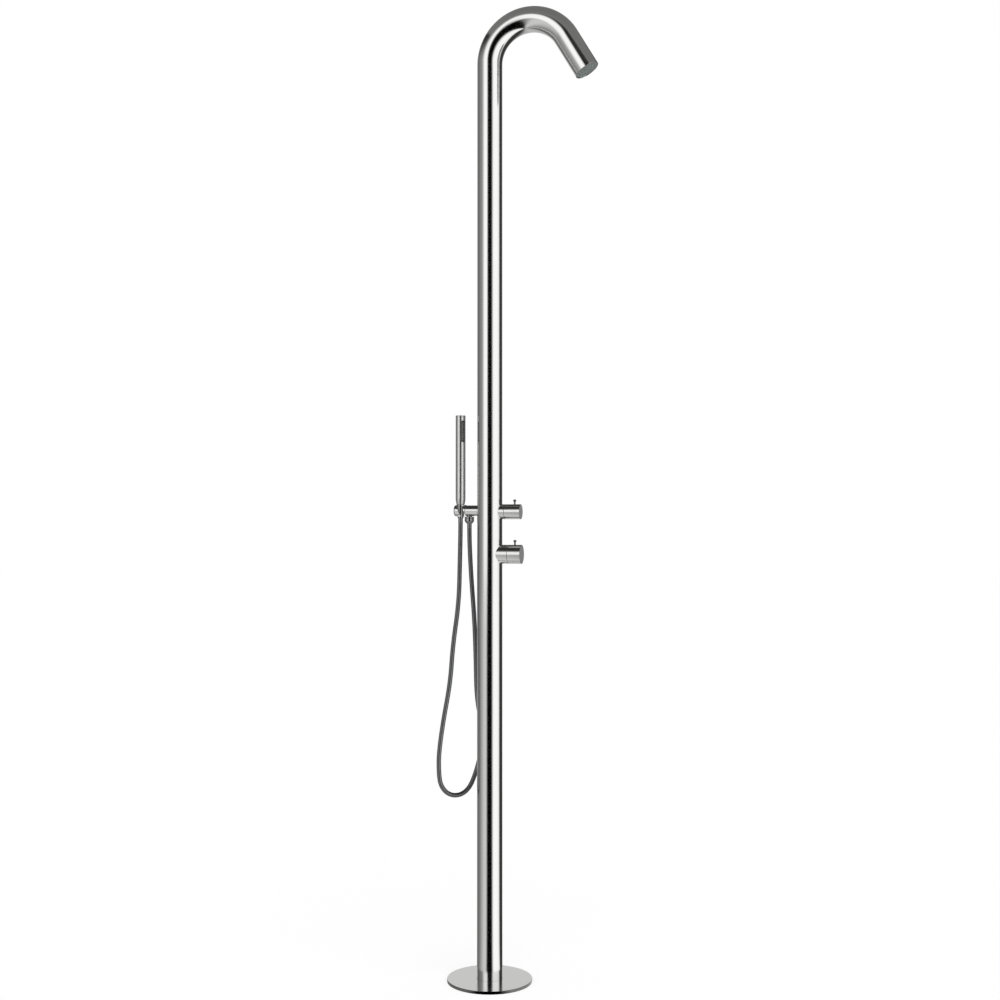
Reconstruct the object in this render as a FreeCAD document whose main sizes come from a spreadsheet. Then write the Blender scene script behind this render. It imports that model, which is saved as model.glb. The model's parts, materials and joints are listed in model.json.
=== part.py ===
import FreeCAD, Part
import math
import os
import Sketcher

# Free-standing outdoor shower post, in millimetres.
# The origin is the centre of the base's underside and +Z is up.
# +X is the side of the spray outlet and of the two knobs, -X the side of the hand shower.

document = FreeCAD.newDocument("shower_post")
sheet = document.addObject("Spreadsheet::Sheet", "sizes")


class Size:
    """A number with the sheet expression that it comes from, so that sums keep both."""

    def __init__(self, text, value):
        self.text = text
        self.value = value

    def join(self, sign, other, value, turned_round=False):
        """Both sides of one operation as a new size."""
        left = self.text
        right = as_size(other).text
        if turned_round:
            left, right = right, left
        return Size(f"({left} {sign} {right})", value)

    def __add__(self, other):
        return self.join("+", other, self.value + as_size(other).value)

    def __radd__(self, other):
        return self.join("+", other, as_size(other).value + self.value, True)

    def __sub__(self, other):
        return self.join("-", other, self.value - as_size(other).value)

    def __rsub__(self, other):
        return self.join("-", other, as_size(other).value - self.value, True)

    def __mul__(self, other):
        return self.join("*", other, self.value * as_size(other).value)

    def __rmul__(self, other):
        return self.join("*", other, as_size(other).value * self.value, True)

    def __truediv__(self, other):
        return self.join("/", other, self.value / as_size(other).value)

    def __neg__(self):
        return 0 - self


def as_size(number):
    """A plain number as a size."""
    if isinstance(number, Size):
        return number
    return Size(f"{number}", float(number))


def root(size):
    """Square root of a size."""
    return Size(f"sqrt({size.text})", math.sqrt(size.value))


def cosine(angle):
    """Cosine of an angle in degrees."""
    return Size(f"cos({angle.text})", math.cos(math.radians(angle.value)))


def sine(angle):
    """Sine of an angle in degrees."""
    return Size(f"sin({angle.text})", math.sin(math.radians(angle.value)))


def driving(name, value):
    """Writes one driving dimension in the sheet and gives it back as a size."""
    driving.row += 1
    sheet.set(f"A{driving.row}", name)
    sheet.set(f"B{driving.row}", f"{value}")
    sheet.setAlias(f"B{driving.row}", name)
    return Size(f"sizes.{name}", float(value))


driving.row = 0

# Post: one bent tube.
post_diameter = driving("post_diameter", 60)
post_wall = driving("post_wall", 2)
bend_start_height = driving("bend_start_height", 2163)
bend_radius = driving("bend_radius", 100)
bend_angle = driving("bend_angle", 149)
neck_length = driving("neck_length", 96.5)

# Base: anchor flange under a loose round cover.
flange_diameter = driving("flange_diameter", 180)
flange_thickness = driving("flange_thickness", 5)
flange_opening = driving("flange_opening", 52)
anchor_circle = driving("anchor_circle", 140)
anchor_hole = driving("anchor_hole", 9)
anchor_head = driving("anchor_head", 16)
anchor_turn = driving("anchor_turn", 45)
cover_diameter = driving("cover_diameter", 200)
cover_wall = driving("cover_wall", 1.5)
cover_edge_chamfer = driving("cover_edge_chamfer", 0.7)
gasket_thickness = driving("gasket_thickness", 0.5)
gasket_width = driving("gasket_width", 8)

# Clearances.
seat_gap = driving("seat_gap", 0.3)
press_gap = driving("press_gap", 0.05)
turning_gap = driving("turning_gap", 0.05)
clamp_gap = driving("clamp_gap", 0.6)
hub_gap = driving("hub_gap", 0.9)
hand_seat_gap = driving("hand_seat_gap", 1.5)

# How far a cutting outline reaches past the face that it leaves by.
overcut = driving("overcut", 1)

# Water pipes inside the post.
supply_pipe_diameter = driving("supply_pipe_diameter", 12)
supply_pipe_wall = driving("supply_pipe_wall", 1)
supply_spacing = driving("supply_spacing", 26.4)
union_foot_height = driving("union_foot_height", 8)
union_length = driving("union_length", 20)
union_flats = driving("union_flats", 24)
union_thread_diameter = driving("union_thread_diameter", 19)
union_thread_depth = driving("union_thread_depth", 14)
riser_pipe_diameter = driving("riser_pipe_diameter", 15)
riser_pipe_wall = driving("riser_pipe_wall", 1)
socket_depth = driving("socket_depth", 10)

# Valves: the mixer and, one spacing above it, the diverter.
mixer_height = driving("mixer_height", 1003)
valve_spacing = driving("valve_spacing", 100)
body_back_reach = driving("body_back_reach", 16)
chamber_floor = driving("chamber_floor", 2)
boss_diameter = driving("boss_diameter", 22)
boss_reach = driving("boss_reach", 24)
manifold_diameter = driving("manifold_diameter", 47)
manifold_reach = driving("manifold_reach", 27)
manifold_thickness = driving("manifold_thickness", 19)
port_diameter = driving("port_diameter", 5)
port_setback = driving("port_setback", 0.4)
knob_gap = driving("knob_gap", 0.6)
knob_end_chamfer = driving("knob_end_chamfer", 0.6)
flange_ring_thickness = driving("flange_ring_thickness", 2)
clamp_nut_thickness = driving("clamp_nut_thickness", 4)
cartridge_nut_lip = driving("cartridge_nut_lip", 2.5)
seal_ring_thickness = driving("seal_ring_thickness", 2)
pin_neck_diameter = driving("pin_neck_diameter", 4.4)
pin_head_diameter = driving("pin_head_diameter", 7.6)
pin_head_height = driving("pin_head_height", 5)
pin_head_taper = driving("pin_head_taper", 1.7)
pin_head_crown = driving("pin_head_crown", 1.2)
pin_height = driving("pin_height", 11)
grub_screw_diameter = driving("grub_screw_diameter", 4)
grub_screw_socket = driving("grub_screw_socket", 2)

# Sizes that the two valves have each: knob, collar, barrel, cartridge and spindle.
VALVES = {
    "mixer": {
        "knob_diameter": 45,
        "knob_reach": 48,
        "knob_wall": 2.5,
        "knob_front": 5,
        "collar_reach": 16.5,
        "collar_wall": 1.5,
        "barrel_diameter": 30,
        "barrel_reach": 14,
        "cartridge_diameter": 25,
        "cartridge_neck": 18,
        "cartridge_nut_wall": 3,
        "cartridge_nut_length": 6,
        "clamp_nut_rim": 4,
        "spindle_diameter": 8,
        "hub_diameter": 16,
        "pin_setback": 16.5,
    },
    "diverter": {
        "knob_diameter": 35.6,
        "knob_reach": 46,
        "knob_wall": 2.2,
        "knob_front": 5,
        "collar_reach": 8,
        "collar_wall": 1.3,
        "barrel_diameter": 21,
        "barrel_reach": 10.5,
        "cartridge_diameter": 17,
        "cartridge_neck": 13,
        "cartridge_nut_wall": 2.5,
        "cartridge_nut_length": 5,
        "clamp_nut_rim": 5,
        "spindle_diameter": 7,
        "hub_diameter": 14,
        "pin_setback": 15,
    },
}

# Holder arm and hand shower on the other side of the post.
arm_diameter = driving("arm_diameter", 25.5)
arm_spigot_diameter = driving("arm_spigot_diameter", 20)
arm_spigot_root = driving("arm_spigot_root", 4)
arm_channel = driving("arm_channel", 8)
arm_nut_flats = driving("arm_nut_flats", 27)
arm_nut_thickness = driving("arm_nut_thickness", 3.5)
outlet_reach = driving("outlet_reach", 50)
holder_reach = driving("holder_reach", 72)
arm_rise = driving("arm_rise", 2.5)
head_diameter = driving("head_diameter", 27.5)
head_length = driving("head_length", 29)
head_edge_radius = driving("head_edge_radius", 4)
head_edge_step = driving("head_edge_step", 1.2)
head_face_chamfer = driving("head_face_chamfer", 1)
head_stud_diameter = driving("head_stud_diameter", 12)
head_stud_length = driving("head_stud_length", 3)
seat_top_diameter = driving("seat_top_diameter", 19.2)
seat_foot_diameter = driving("seat_foot_diameter", 15.6)
liner_wall = driving("liner_wall", 1)
slot_width = driving("slot_width", 12.5)
slot_slant = driving("slot_slant", 22)
slot_shift = driving("slot_shift", 4)
nipple_diameter = driving("nipple_diameter", 13)
nipple_length = driving("nipple_length", 14)
nipple_socket = driving("nipple_socket", 5)
hose_diameter = driving("hose_diameter", 11)
hose_nut_diameter = driving("hose_nut_diameter", 22.5)
hose_nut_length = driving("hose_nut_length", 16)
hose_nut_drop = driving("hose_nut_drop", 1.5)
hose_nut_taper = driving("hose_nut_taper", 5.3)
hose_nut_wall = driving("hose_nut_wall", 1.2)
hose_nut_chamfer = driving("hose_nut_chamfer", 1)
cone_length = driving("cone_length", 33)
cone_foot_chamfer = driving("cone_foot_chamfer", 0.6)
cone_bore = driving("cone_bore", 12)
cone_collar_depth = driving("cone_collar_depth", 4)
hand_diameter = driving("hand_diameter", 23.5)
hand_wall = driving("hand_wall", 2)
hand_length = driving("hand_length", 211)
hand_taper_length = driving("hand_taper_length", 11)
hand_foot_diameter = driving("hand_foot_diameter", 19.6)
hand_foot_chamfer = driving("hand_foot_chamfer", 0.5)
hand_thread_depth = driving("hand_thread_depth", 14)
cap_thickness = driving("cap_thickness", 3)
cap_chamfer = driving("cap_chamfer", 0.8)
spray_face_length = driving("spray_face_length", 52)
spray_face_width = driving("spray_face_width", 13)
spray_face_drop = driving("spray_face_drop", 12)
spray_face_depth = driving("spray_face_depth", 2)
spray_plate_recess = driving("spray_plate_recess", 0.3)
spray_face_turn = driving("spray_face_turn", -40)
hand_nozzle_diameter = driving("hand_nozzle_diameter", 1.6)
hand_nozzle_proud = driving("hand_nozzle_proud", 0.5)
hand_nozzle_row_offset = driving("hand_nozzle_row_offset", 2.6)

# Spray outlet in the end of the neck.
insert_recess = driving("insert_recess", 2)
insert_thickness = driving("insert_thickness", 5)
insert_groove_depth = driving("insert_groove_depth", 3.5)
insert_face_recess = driving("insert_face_recess", 0.5)
insert_ring_width = driving("insert_ring_width", 3)
insert_seal_width = driving("insert_seal_width", 1.6)
adapter_length = driving("adapter_length", 22)
adapter_wall = driving("adapter_wall", 2.5)
retaining_ring_width = driving("retaining_ring_width", 2)
retaining_ring_thickness = driving("retaining_ring_thickness", 2)
retaining_ring_split = driving("retaining_ring_split", 4)
nozzle_diameter = driving("nozzle_diameter", 2.6)
nozzle_proud = driving("nozzle_proud", 0.8)
nozzle_ring_spacing = driving("nozzle_ring_spacing", 7)

NOZZLE_RINGS = 3
FIRST_RING_NOZZLES = 6
HAND_NOZZLE_ROWS = 9

# Places that several pieces share.
post_radius = post_diameter / 2
post_bore_radius = post_radius - post_wall
cover_underside = flange_thickness + gasket_thickness
cover_top = cover_underside + cover_wall
diverter_height = mixer_height + valve_spacing
arm_height = diverter_height + arm_rise
bend_end_x = bend_radius * (1 - cosine(bend_angle))
bend_end_z = bend_start_height + bend_radius * sine(bend_angle)
neck_x = bend_end_x + neck_length * sine(bend_angle)
neck_z = bend_end_z + neck_length * cosine(bend_angle)
pipe_seat = socket_depth - seat_gap

valve_sizes = {
    valve: {name: driving(f"{valve}_{name}", value) for name, value in values.items()}
    for valve, values in VALVES.items()
}

PLANES = {"XY": "XY_Plane", "XZ": "XZ_Plane", "YZ": "YZ_Plane"}
SYMMETRIC = "Symmetric"


def bind(thing, **expressions):
    """Ties properties to the sheet; a double underscore in a name stands for a dot."""
    for name, size in expressions.items():
        thing.setExpression(name.replace("__", "."), as_size(size).text)


def new_body(label, x=0, y=0, z=0, tilt=None, turn=None):
    """An empty body whose origin is at the given place, tilted about Y or turned about Z."""
    body = document.addObject("PartDesign::Body", label)
    body.Label = label
    if tilt is not None:
        body.Placement.Rotation = FreeCAD.Rotation(FreeCAD.Vector(0, 1, 0), tilt.value)
        bind(body, Placement__Rotation__Angle=tilt)
    if turn is not None:
        body.Placement.Rotation = FreeCAD.Rotation(FreeCAD.Vector(0, 0, 1), turn.value)
        bind(body, Placement__Rotation__Angle=turn)
    bind(body, Placement__Base__x=x, Placement__Base__y=y, Placement__Base__z=z)
    return body


def new_sketch(body, plane, offset=0):
    """A sketch on one of the body's own origin planes, moved along its normal."""
    sketch = body.newObject("Sketcher::SketchObject", f"{body.Name}_sketch")
    features = body.Origin.OriginFeatures
    support = next(feature for feature in features if feature.Role == PLANES[plane])
    sketch.AttachmentSupport = [(support, "")]
    sketch.MapMode = "FlatFace"
    if isinstance(offset, Size):
        bind(sketch, AttachmentOffset__Base__z=offset)
    return sketch


def hold(sketch, geometry, point, place):
    """Holds one point of the sketch at a place given as two sizes; None leaves one free."""
    for kind, size in zip(("DistanceX", "DistanceY"), place):
        if size is None:
            continue
        value = as_size(size)
        index = sketch.addConstraint(
            Sketcher.Constraint(kind, -1, 1, geometry, point, value.value)
        )
        sketch.setExpression(f"Constraints[{index}]", value.text)


def draw_outline(sketch, corners):
    """A closed outline of straight lines through corners given as pairs of sizes."""
    places = [
        FreeCAD.Vector(as_size(x).value, as_size(y).value, 0) for x, y in corners
    ]
    first = sketch.GeometryCount
    count = len(places)
    for index in range(count):
        line = Part.LineSegment(places[index], places[(index + 1) % count])
        sketch.addGeometry(line, False)
    for index in range(count):
        following = (index + 1) % count
        sketch.addConstraint(
            Sketcher.Constraint("Coincident", first + index, 2, first + following, 1)
        )
    for index, corner in enumerate(corners):
        hold(sketch, first + index, 1, corner)


def draw_circle(sketch, x, y, radius):
    """A circle with its centre and its radius held."""
    centre = FreeCAD.Vector(as_size(x).value, as_size(y).value, 0)
    circle = Part.Circle(centre, FreeCAD.Vector(0, 0, 1), as_size(radius).value)
    index = sketch.addGeometry(circle, False)
    hold(sketch, index, 3, (x, y))
    constraint = sketch.addConstraint(Sketcher.Constraint("Radius", index, as_size(radius).value))
    sketch.setExpression(f"Constraints[{constraint}]", as_size(radius).text)


def hexagon(flats):
    """Corners of a hexagon of the given width across its flats."""
    corner = flats / 2 / cosine(as_size(30))
    return [(corner * cosine(as_size(angle)), corner * sine(as_size(angle))) for angle in range(0, 360, 60)]


def spin(body, corners, axis):
    """Turns an outline in the body's XZ plane about its X axis (H) or Z axis (V)."""
    sketch = new_sketch(body, "XZ")
    draw_outline(sketch, corners)
    turned = body.newObject("PartDesign::Revolution", f"{body.Name}_turned")
    turned.Profile = sketch
    turned.ReferenceAxis = (sketch, [f"{axis}_Axis"])
    turned.Angle = 360
    return turned


def block(body, plane, draw, length, offset=0):
    """Pads what draw puts in a sketch by a length along the plane's positive axis."""
    sketch = new_sketch(body, plane, offset)
    draw(sketch)
    pad = body.newObject("PartDesign::Pad", f"{body.Name}_pad")
    pad.Profile = sketch
    bind(pad, Length=length)
    return pad


def cut(body, plane, draw, length, offset=0, towards_positive=True):
    """Pockets what draw puts in a sketch, from its offset towards the plane's positive axis."""
    sketch = new_sketch(body, plane, offset)
    draw(sketch)
    pocket = body.newObject("PartDesign::Pocket", f"{body.Name}_pocket")
    pocket.Profile = sketch
    pocket.Reversed = towards_positive
    bind(pocket, Length=length)
    return pocket


def cut_both_ways(body, plane, draw, length):
    """Pockets what draw puts in a sketch, half the length to each side of the plane."""
    pocket = cut(body, plane, draw, length)
    pocket.SideType = SYMMETRIC
    return pocket


def ring(label, inner, outer, low, high, axis="V", **place):
    """A plain ring, tube or, with no inner radius, a disc, along Z (V) or X (H)."""
    body = new_body(label, **place)
    if axis == "V":
        corners = [(inner, low), (outer, low), (outer, high), (inner, high)]
    else:
        corners = [(low, inner), (high, inner), (high, outer), (low, outer)]
    spin(body, corners, axis)
    return body


def nut(label, bore, flats, low, high, axis="V", **place):
    """A hexagon nut along Z (V) or X (H)."""
    body = new_body(label, **place)

    def draw(sketch):
        draw_outline(sketch, hexagon(flats))
        draw_circle(sketch, 0, 0, bore)

    block(body, "XY" if axis == "V" else "YZ", draw, high - low, low)
    return body


def bent_tube(label, outer, wall, low, neck):
    """A tube on the post's centre line: upright from a height, round the bend and down the neck."""
    body = new_body(label)

    def draw(sketch):
        draw_circle(sketch, 0, 0, outer)
        draw_circle(sketch, 0, 0, outer - wall)

    block(body, "XY", draw, bend_start_height - low, low)
    section = new_sketch(body, "XY", bend_start_height)
    draw(section)
    far = outer * 2
    ends = [FreeCAD.Vector(bend_radius.value, side * far.value, 0) for side in (-1, 1)]
    hinge = section.addGeometry(Part.LineSegment(*ends), True)
    hold(section, hinge, 1, (bend_radius, -far))
    hold(section, hinge, 2, (bend_radius, far))
    bend = body.newObject("PartDesign::Revolution", f"{label}_bend")
    bend.Profile = section
    bend.ReferenceAxis = (section, ["Axis0"])
    bind(bend, Angle=bend_angle)
    neck_sketch = new_sketch(body, "XY")
    draw(neck_sketch)
    neck_sketch.AttachmentOffset.Rotation = FreeCAD.Rotation(FreeCAD.Vector(0, 1, 0), bend_angle.value)
    bind(neck_sketch, AttachmentOffset__Rotation__Angle=bend_angle)
    bind(neck_sketch, AttachmentOffset__Base__x=bend_end_x, AttachmentOffset__Base__z=bend_end_z)
    pad = body.newObject("PartDesign::Pad", f"{label}_neck")
    pad.Profile = neck_sketch
    bind(pad, Length=neck)
    return body


def round_hole(x, y, radius):
    """A drawing function for one circle."""
    return lambda sketch: draw_circle(sketch, x, y, radius)


# ---- Base ----


def make_anchor_flange():
    """Round plate with a central opening and four countersunk anchor holes, under the post."""
    body = ring("anchor_flange", flange_opening / 2, flange_diameter / 2, 0, flange_thickness)
    sink = (anchor_head - anchor_hole) / 2
    hole_sketch = new_sketch(body, "XZ")
    centre = anchor_circle / 2
    corners = [
        (centre, 0),
        (centre + anchor_hole / 2, 0),
        (centre + anchor_hole / 2, flange_thickness - sink),
        (centre + anchor_head / 2, flange_thickness),
        (centre, flange_thickness),
    ]
    draw_outline(hole_sketch, corners)
    groove = body.newObject("PartDesign::Groove", "anchor_flange_hole")
    groove.Profile = hole_sketch
    groove.ReferenceAxis = (hole_sketch, ["Edge5"])
    groove.Angle = 360
    pattern = body.newObject("PartDesign::PolarPattern", "anchor_flange_holes")
    pattern.Originals = [groove]
    pattern.Axis = (new_axis(body, "Z_Axis"), [""])
    pattern.Angle = 360
    pattern.Occurrences = 4
    body.Tip = pattern
    bind(body, Placement__Rotation__Angle=anchor_turn)
    return body


def new_axis(body, role):
    """One of the body's own origin axes."""
    return next(feature for feature in body.Origin.OriginFeatures if feature.Role == role)


def make_base_cover():
    """Round dished cover that hides the flange and its screws and rests on the ground."""
    body = new_body("base_cover")
    rim = cover_diameter / 2
    hole = post_radius + seat_gap
    corners = [
        (hole, cover_underside),
        (rim - cover_wall, cover_underside),
        (rim - cover_wall, 0),
        (rim, 0),
        (rim, cover_top - cover_edge_chamfer),
        (rim - cover_edge_chamfer, cover_top),
        (hole, cover_top),
    ]
    spin(body, corners, "V")


def make_cover_gasket():
    """Foam ring that the cover rests on, around the foot of the post."""
    inner = post_radius + seat_gap
    ring("cover_gasket", inner, inner + gasket_width, flange_thickness, cover_underside)


# ---- Post and spray outlet ----


def make_post_tube():
    """The bent stainless tube with its holes for the two valves and the holder arm."""
    body = bent_tube("post_tube", post_radius, post_wall, flange_thickness, neck_length)
    for valve, height in (("mixer", mixer_height), ("diverter", diverter_height)):
        hole = valve_sizes[valve]["barrel_diameter"] / 2 + seat_gap
        cut(body, "YZ", round_hole(0, height, hole), post_diameter)
    spigot_hole = arm_spigot_diameter / 2 + seat_gap
    cut(body, "YZ", round_hole(0, arm_height, spigot_hole), post_diameter, towards_positive=False)


def at_neck_end():
    """Place of a body whose +Z points out of the neck."""
    return {"x": neck_x, "z": neck_z, "tilt": bend_angle}


def make_spray_insert():
    """Disc with the nozzle holes, set back in the end of the neck."""
    radius = post_bore_radius - press_gap
    plug = radius - insert_seal_width
    body = new_body("spray_insert", **at_neck_end())
    face = -insert_recess
    back = face - insert_thickness
    groove_low = face - insert_groove_depth
    groove_high = groove_low + insert_seal_width
    corners = [
        (0, back),
        (radius, back),
        (radius, groove_low),
        (plug, groove_low),
        (plug, groove_high),
        (radius, groove_high),
        (radius, face),
        (radius - insert_ring_width, face),
        (radius - insert_ring_width, face - insert_face_recess),
        (0, face - insert_face_recess),
    ]
    spin(body, corners, "V")
    for x, y in nozzle_places():
        cut(body, "XY", round_hole(x, y, nozzle_diameter / 2), insert_thickness * 2, back - overcut)


def nozzle_places():
    """Centres of the nozzles: one in the middle and rings of six, twelve and eighteen."""
    places = [(as_size(0), as_size(0))]
    for number in range(1, NOZZLE_RINGS + 1):
        count = FIRST_RING_NOZZLES * number
        for step in range(count):
            angle = as_size(360 * step / count)
            reach = nozzle_ring_spacing * number
            places.append((reach * cosine(angle), reach * sine(angle)))
    return places


def make_spray_nozzles():
    """Rubber nozzles, one in each hole of the insert."""
    nozzles = []
    face = -insert_recess - insert_face_recess
    length = insert_thickness + nozzle_proud - insert_face_recess
    for number, (x, y) in enumerate(nozzle_places()):
        nozzle = document.addObject("Part::Cylinder", f"spray_nozzle_{number}")
        bind(nozzle, Radius=nozzle_diameter / 2, Height=length)
        bind(nozzle, Placement__Base__x=x, Placement__Base__y=y)
        bind(nozzle, Placement__Base__z=face + nozzle_proud - length)
        nozzles.append(nozzle)
    group = document.addObject("Part::Compound", "spray_nozzles")
    group.Label = "spray_nozzles"
    group.Links = nozzles
    group.Placement.Rotation = FreeCAD.Rotation(FreeCAD.Vector(0, 1, 0), bend_angle.value)
    bind(group, Placement__Rotation__Angle=bend_angle)
    bind(group, Placement__Base__x=neck_x, Placement__Base__z=neck_z)


def make_spray_seal():
    """Rubber ring in the groove round the insert."""
    low = -insert_recess - insert_groove_depth
    outer = post_bore_radius - press_gap
    ring("spray_seal", outer - insert_seal_width, outer, low, low + insert_seal_width, **at_neck_end())


def make_retaining_ring():
    """Split ring behind the insert that stops it from sliding up the neck."""
    high = -insert_recess - insert_thickness
    outer = post_bore_radius - press_gap
    low = high - retaining_ring_thickness
    body = ring("retaining_ring", outer - retaining_ring_width, outer, low, high, **at_neck_end())
    half = retaining_ring_split / 2
    reach = outer + overcut
    corners = [(0, -half), (reach, -half), (reach, half), (0, half)]
    depth = retaining_ring_thickness + overcut * 2
    cut(body, "XY", lambda sketch: draw_outline(sketch, corners), depth, low - overcut)


def make_outlet_adapter():
    """Bell that joins the riser pipe to the back of the insert."""
    high = -insert_recess - insert_thickness
    low = high - adapter_length
    pipe = riser_pipe_diameter / 2
    bell = post_bore_radius - retaining_ring_width - adapter_wall
    body = new_body("outlet_adapter", **at_neck_end())
    bore = pipe + press_gap
    seat = low + socket_depth
    corners = [
        (bore, low),
        (bore + adapter_wall, low),
        (bore + adapter_wall, seat),
        (bell, high - adapter_wall),
        (bell, high),
        (bell - adapter_wall, high),
        (bell - adapter_wall, high - adapter_wall),
        (bore, seat + adapter_wall),
    ]
    spin(body, corners, "V")


def make_riser_pipe():
    """Pipe from the diverter up through the bend to the spray outlet."""
    low = diverter_height + boss_reach - pipe_seat
    neck = neck_length - (insert_recess + insert_thickness + adapter_length - pipe_seat)
    bent_tube("riser_pipe", riser_pipe_diameter / 2, riser_pipe_wall, low, neck)


# ---- Supply ----


def make_supply(side, sign):
    """One straight supply pipe, with a threaded union at its foot."""
    y = supply_spacing / 2 * sign
    outer = supply_pipe_diameter / 2
    union_top = union_foot_height + union_length
    low = union_top - socket_depth / 2
    high = mixer_height - manifold_reach + pipe_seat
    ring(f"{side}_supply_pipe", outer - supply_pipe_wall, outer, low, high, y=y)
    body = nut(f"{side}_inlet_union", outer + press_gap, union_flats, union_foot_height, union_top, y=y)
    thread = round_hole(0, 0, union_thread_diameter / 2)
    cut(body, "XY", thread, union_thread_depth, union_foot_height)


# ---- Valves ----


def make_valve(valve, height):
    """One valve: body, cartridge, nuts, collar and spindle, and the knob with its pin and screw."""
    size = valve_sizes[valve]
    place = {"z": height}
    barrel = size["barrel_diameter"] / 2
    mouth = post_radius + size["barrel_reach"]
    cartridge = size["cartridge_diameter"] / 2
    neck = size["cartridge_neck"] / 2
    spindle = size["spindle_diameter"] / 2
    knob = size["knob_diameter"] / 2
    collar_end = post_radius + size["collar_reach"]
    knob_start = collar_end + knob_gap
    knob_end = post_radius + size["knob_reach"]
    knob_floor = knob_end - size["knob_front"]
    nut_lip_end = mouth + seat_gap + cartridge_nut_lip
    clamp_low = post_radius + clamp_gap + flange_ring_thickness
    clamp_high = clamp_low + clamp_nut_thickness
    spindle_start = chamber_floor + socket_depth

    body = new_body(f"{valve}_body", **place)
    corners = [(-body_back_reach, 0), (mouth, 0), (mouth, barrel), (-body_back_reach, barrel)]
    spin(body, corners, "H")
    boss = boss_diameter / 2
    pipe_socket = riser_pipe_diameter / 2 + press_gap
    block(body, "XY", round_hole(0, 0, boss), boss_reach)
    if valve == "mixer":
        manifold = round_hole(0, 0, manifold_diameter / 2)
        block(body, "XY", manifold, manifold_thickness, -manifold_reach)
    else:
        block(body, "XY", round_hole(0, 0, boss), boss_reach, -boss_reach)
    chamber = round_hole(0, 0, cartridge + press_gap)
    cut(body, "YZ", chamber, mouth, chamber_floor)
    cut(body, "XY", round_hole(0, 0, pipe_socket), socket_depth * 2, boss_reach - socket_depth)
    port_x = chamber_floor + port_setback + port_diameter / 2
    cut(body, "XY", round_hole(port_x, 0, port_diameter / 2), boss_reach - socket_depth / 2)
    if valve == "mixer":
        for sign in (-1, 1):
            y = supply_spacing / 2 * sign
            socket = round_hole(0, y, supply_pipe_diameter / 2 + press_gap)
            cut(body, "XY", socket, socket_depth, -manifold_reach)
            port_y = (supply_spacing / 2 - port_diameter) * sign
            port = round_hole(port_x, port_y, port_diameter / 2)
            cut(body, "XY", port, manifold_reach - socket_depth / 2, -manifold_reach + socket_depth / 2)
    else:
        socket = round_hole(0, 0, pipe_socket)
        cut(body, "XY", socket, socket_depth, -boss_reach)
        port = round_hole(port_x, 0, port_diameter / 2)
        cut(body, "XY", port, boss_reach - socket_depth / 2, -boss_reach + socket_depth / 2)
        rear = round_hole(0, arm_rise, supply_pipe_diameter / 2 + press_gap)
        cut(body, "YZ", rear, socket_depth, -body_back_reach)
        rear_port = round_hole(0, arm_rise, port_diameter / 2)
        cut(body, "YZ", rear_port, body_back_reach, -body_back_reach / 2)

    cartridge_body = new_body(f"{valve}_cartridge", **place)
    shoulder = mouth - seat_gap
    corners = [
        (chamber_floor, 0),
        (spindle_start - seat_gap, 0),
        (spindle_start - seat_gap, spindle + turning_gap),
        (nut_lip_end + seat_gap, spindle + turning_gap),
        (nut_lip_end + seat_gap, neck),
        (shoulder, neck),
        (shoulder, cartridge),
        (chamber_floor, cartridge),
    ]
    spin(cartridge_body, corners, "H")

    nut_low = mouth + seat_gap + cartridge_nut_lip - size["cartridge_nut_length"]
    nut_outer = barrel + size["cartridge_nut_wall"]
    nut_body = new_body(f"{valve}_cartridge_nut", **place)
    corners = [
        (nut_low, barrel + press_gap),
        (mouth + seat_gap, barrel + press_gap),
        (mouth + seat_gap, neck + press_gap),
        (nut_lip_end, neck + press_gap),
        (nut_lip_end, nut_outer),
        (nut_low, nut_outer),
    ]
    spin(nut_body, corners, "H")

    flats = size["barrel_diameter"] + size["clamp_nut_rim"]
    nut(f"{valve}_clamp_nut", barrel + press_gap, flats, clamp_low, clamp_high, axis="H", **place)

    collar = new_body(f"{valve}_collar", **place)
    sleeve = knob - size["collar_wall"]
    corners = [
        (0, sleeve),
        (clamp_low - flange_ring_thickness, sleeve),
        (clamp_low - flange_ring_thickness, barrel + seat_gap),
        (clamp_low, barrel + seat_gap),
        (clamp_low, sleeve),
        (collar_end, sleeve),
        (collar_end, knob),
        (0, knob),
    ]
    spin(collar, corners, "H")
    cut_both_ways(collar, "XY", round_hole(0, 0, post_radius + press_gap), knob * 3)

    ring(f"{valve}_spindle", 0, spindle, spindle_start, knob_floor - press_gap, axis="H", **place)

    knob_body = new_body(f"{valve}_knob", **place)
    inside = knob - size["knob_wall"]
    hub = size["hub_diameter"] / 2
    hub_start = nut_lip_end + hub_gap
    corners = [
        (knob_start, inside),
        (knob_floor, inside),
        (knob_floor, hub),
        (hub_start, hub),
        (hub_start, spindle + press_gap),
        (knob_floor, spindle + press_gap),
        (knob_floor, 0),
        (knob_end, 0),
        (knob_end, knob - knob_end_chamfer),
        (knob_end - knob_end_chamfer, knob),
        (knob_start, knob),
    ]
    spin(knob_body, corners, "H")
    pin_x = knob_end - size["pin_setback"]
    cut(knob_body, "XY", round_hole(pin_x, 0, pin_neck_diameter / 2 + press_gap), knob * 2, inside - overcut)
    screw_hole = round_hole(pin_x, 0, grub_screw_diameter / 2 + press_gap)
    cut(knob_body, "XY", screw_hole, knob * 2, -spindle, towards_positive=False)

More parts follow.
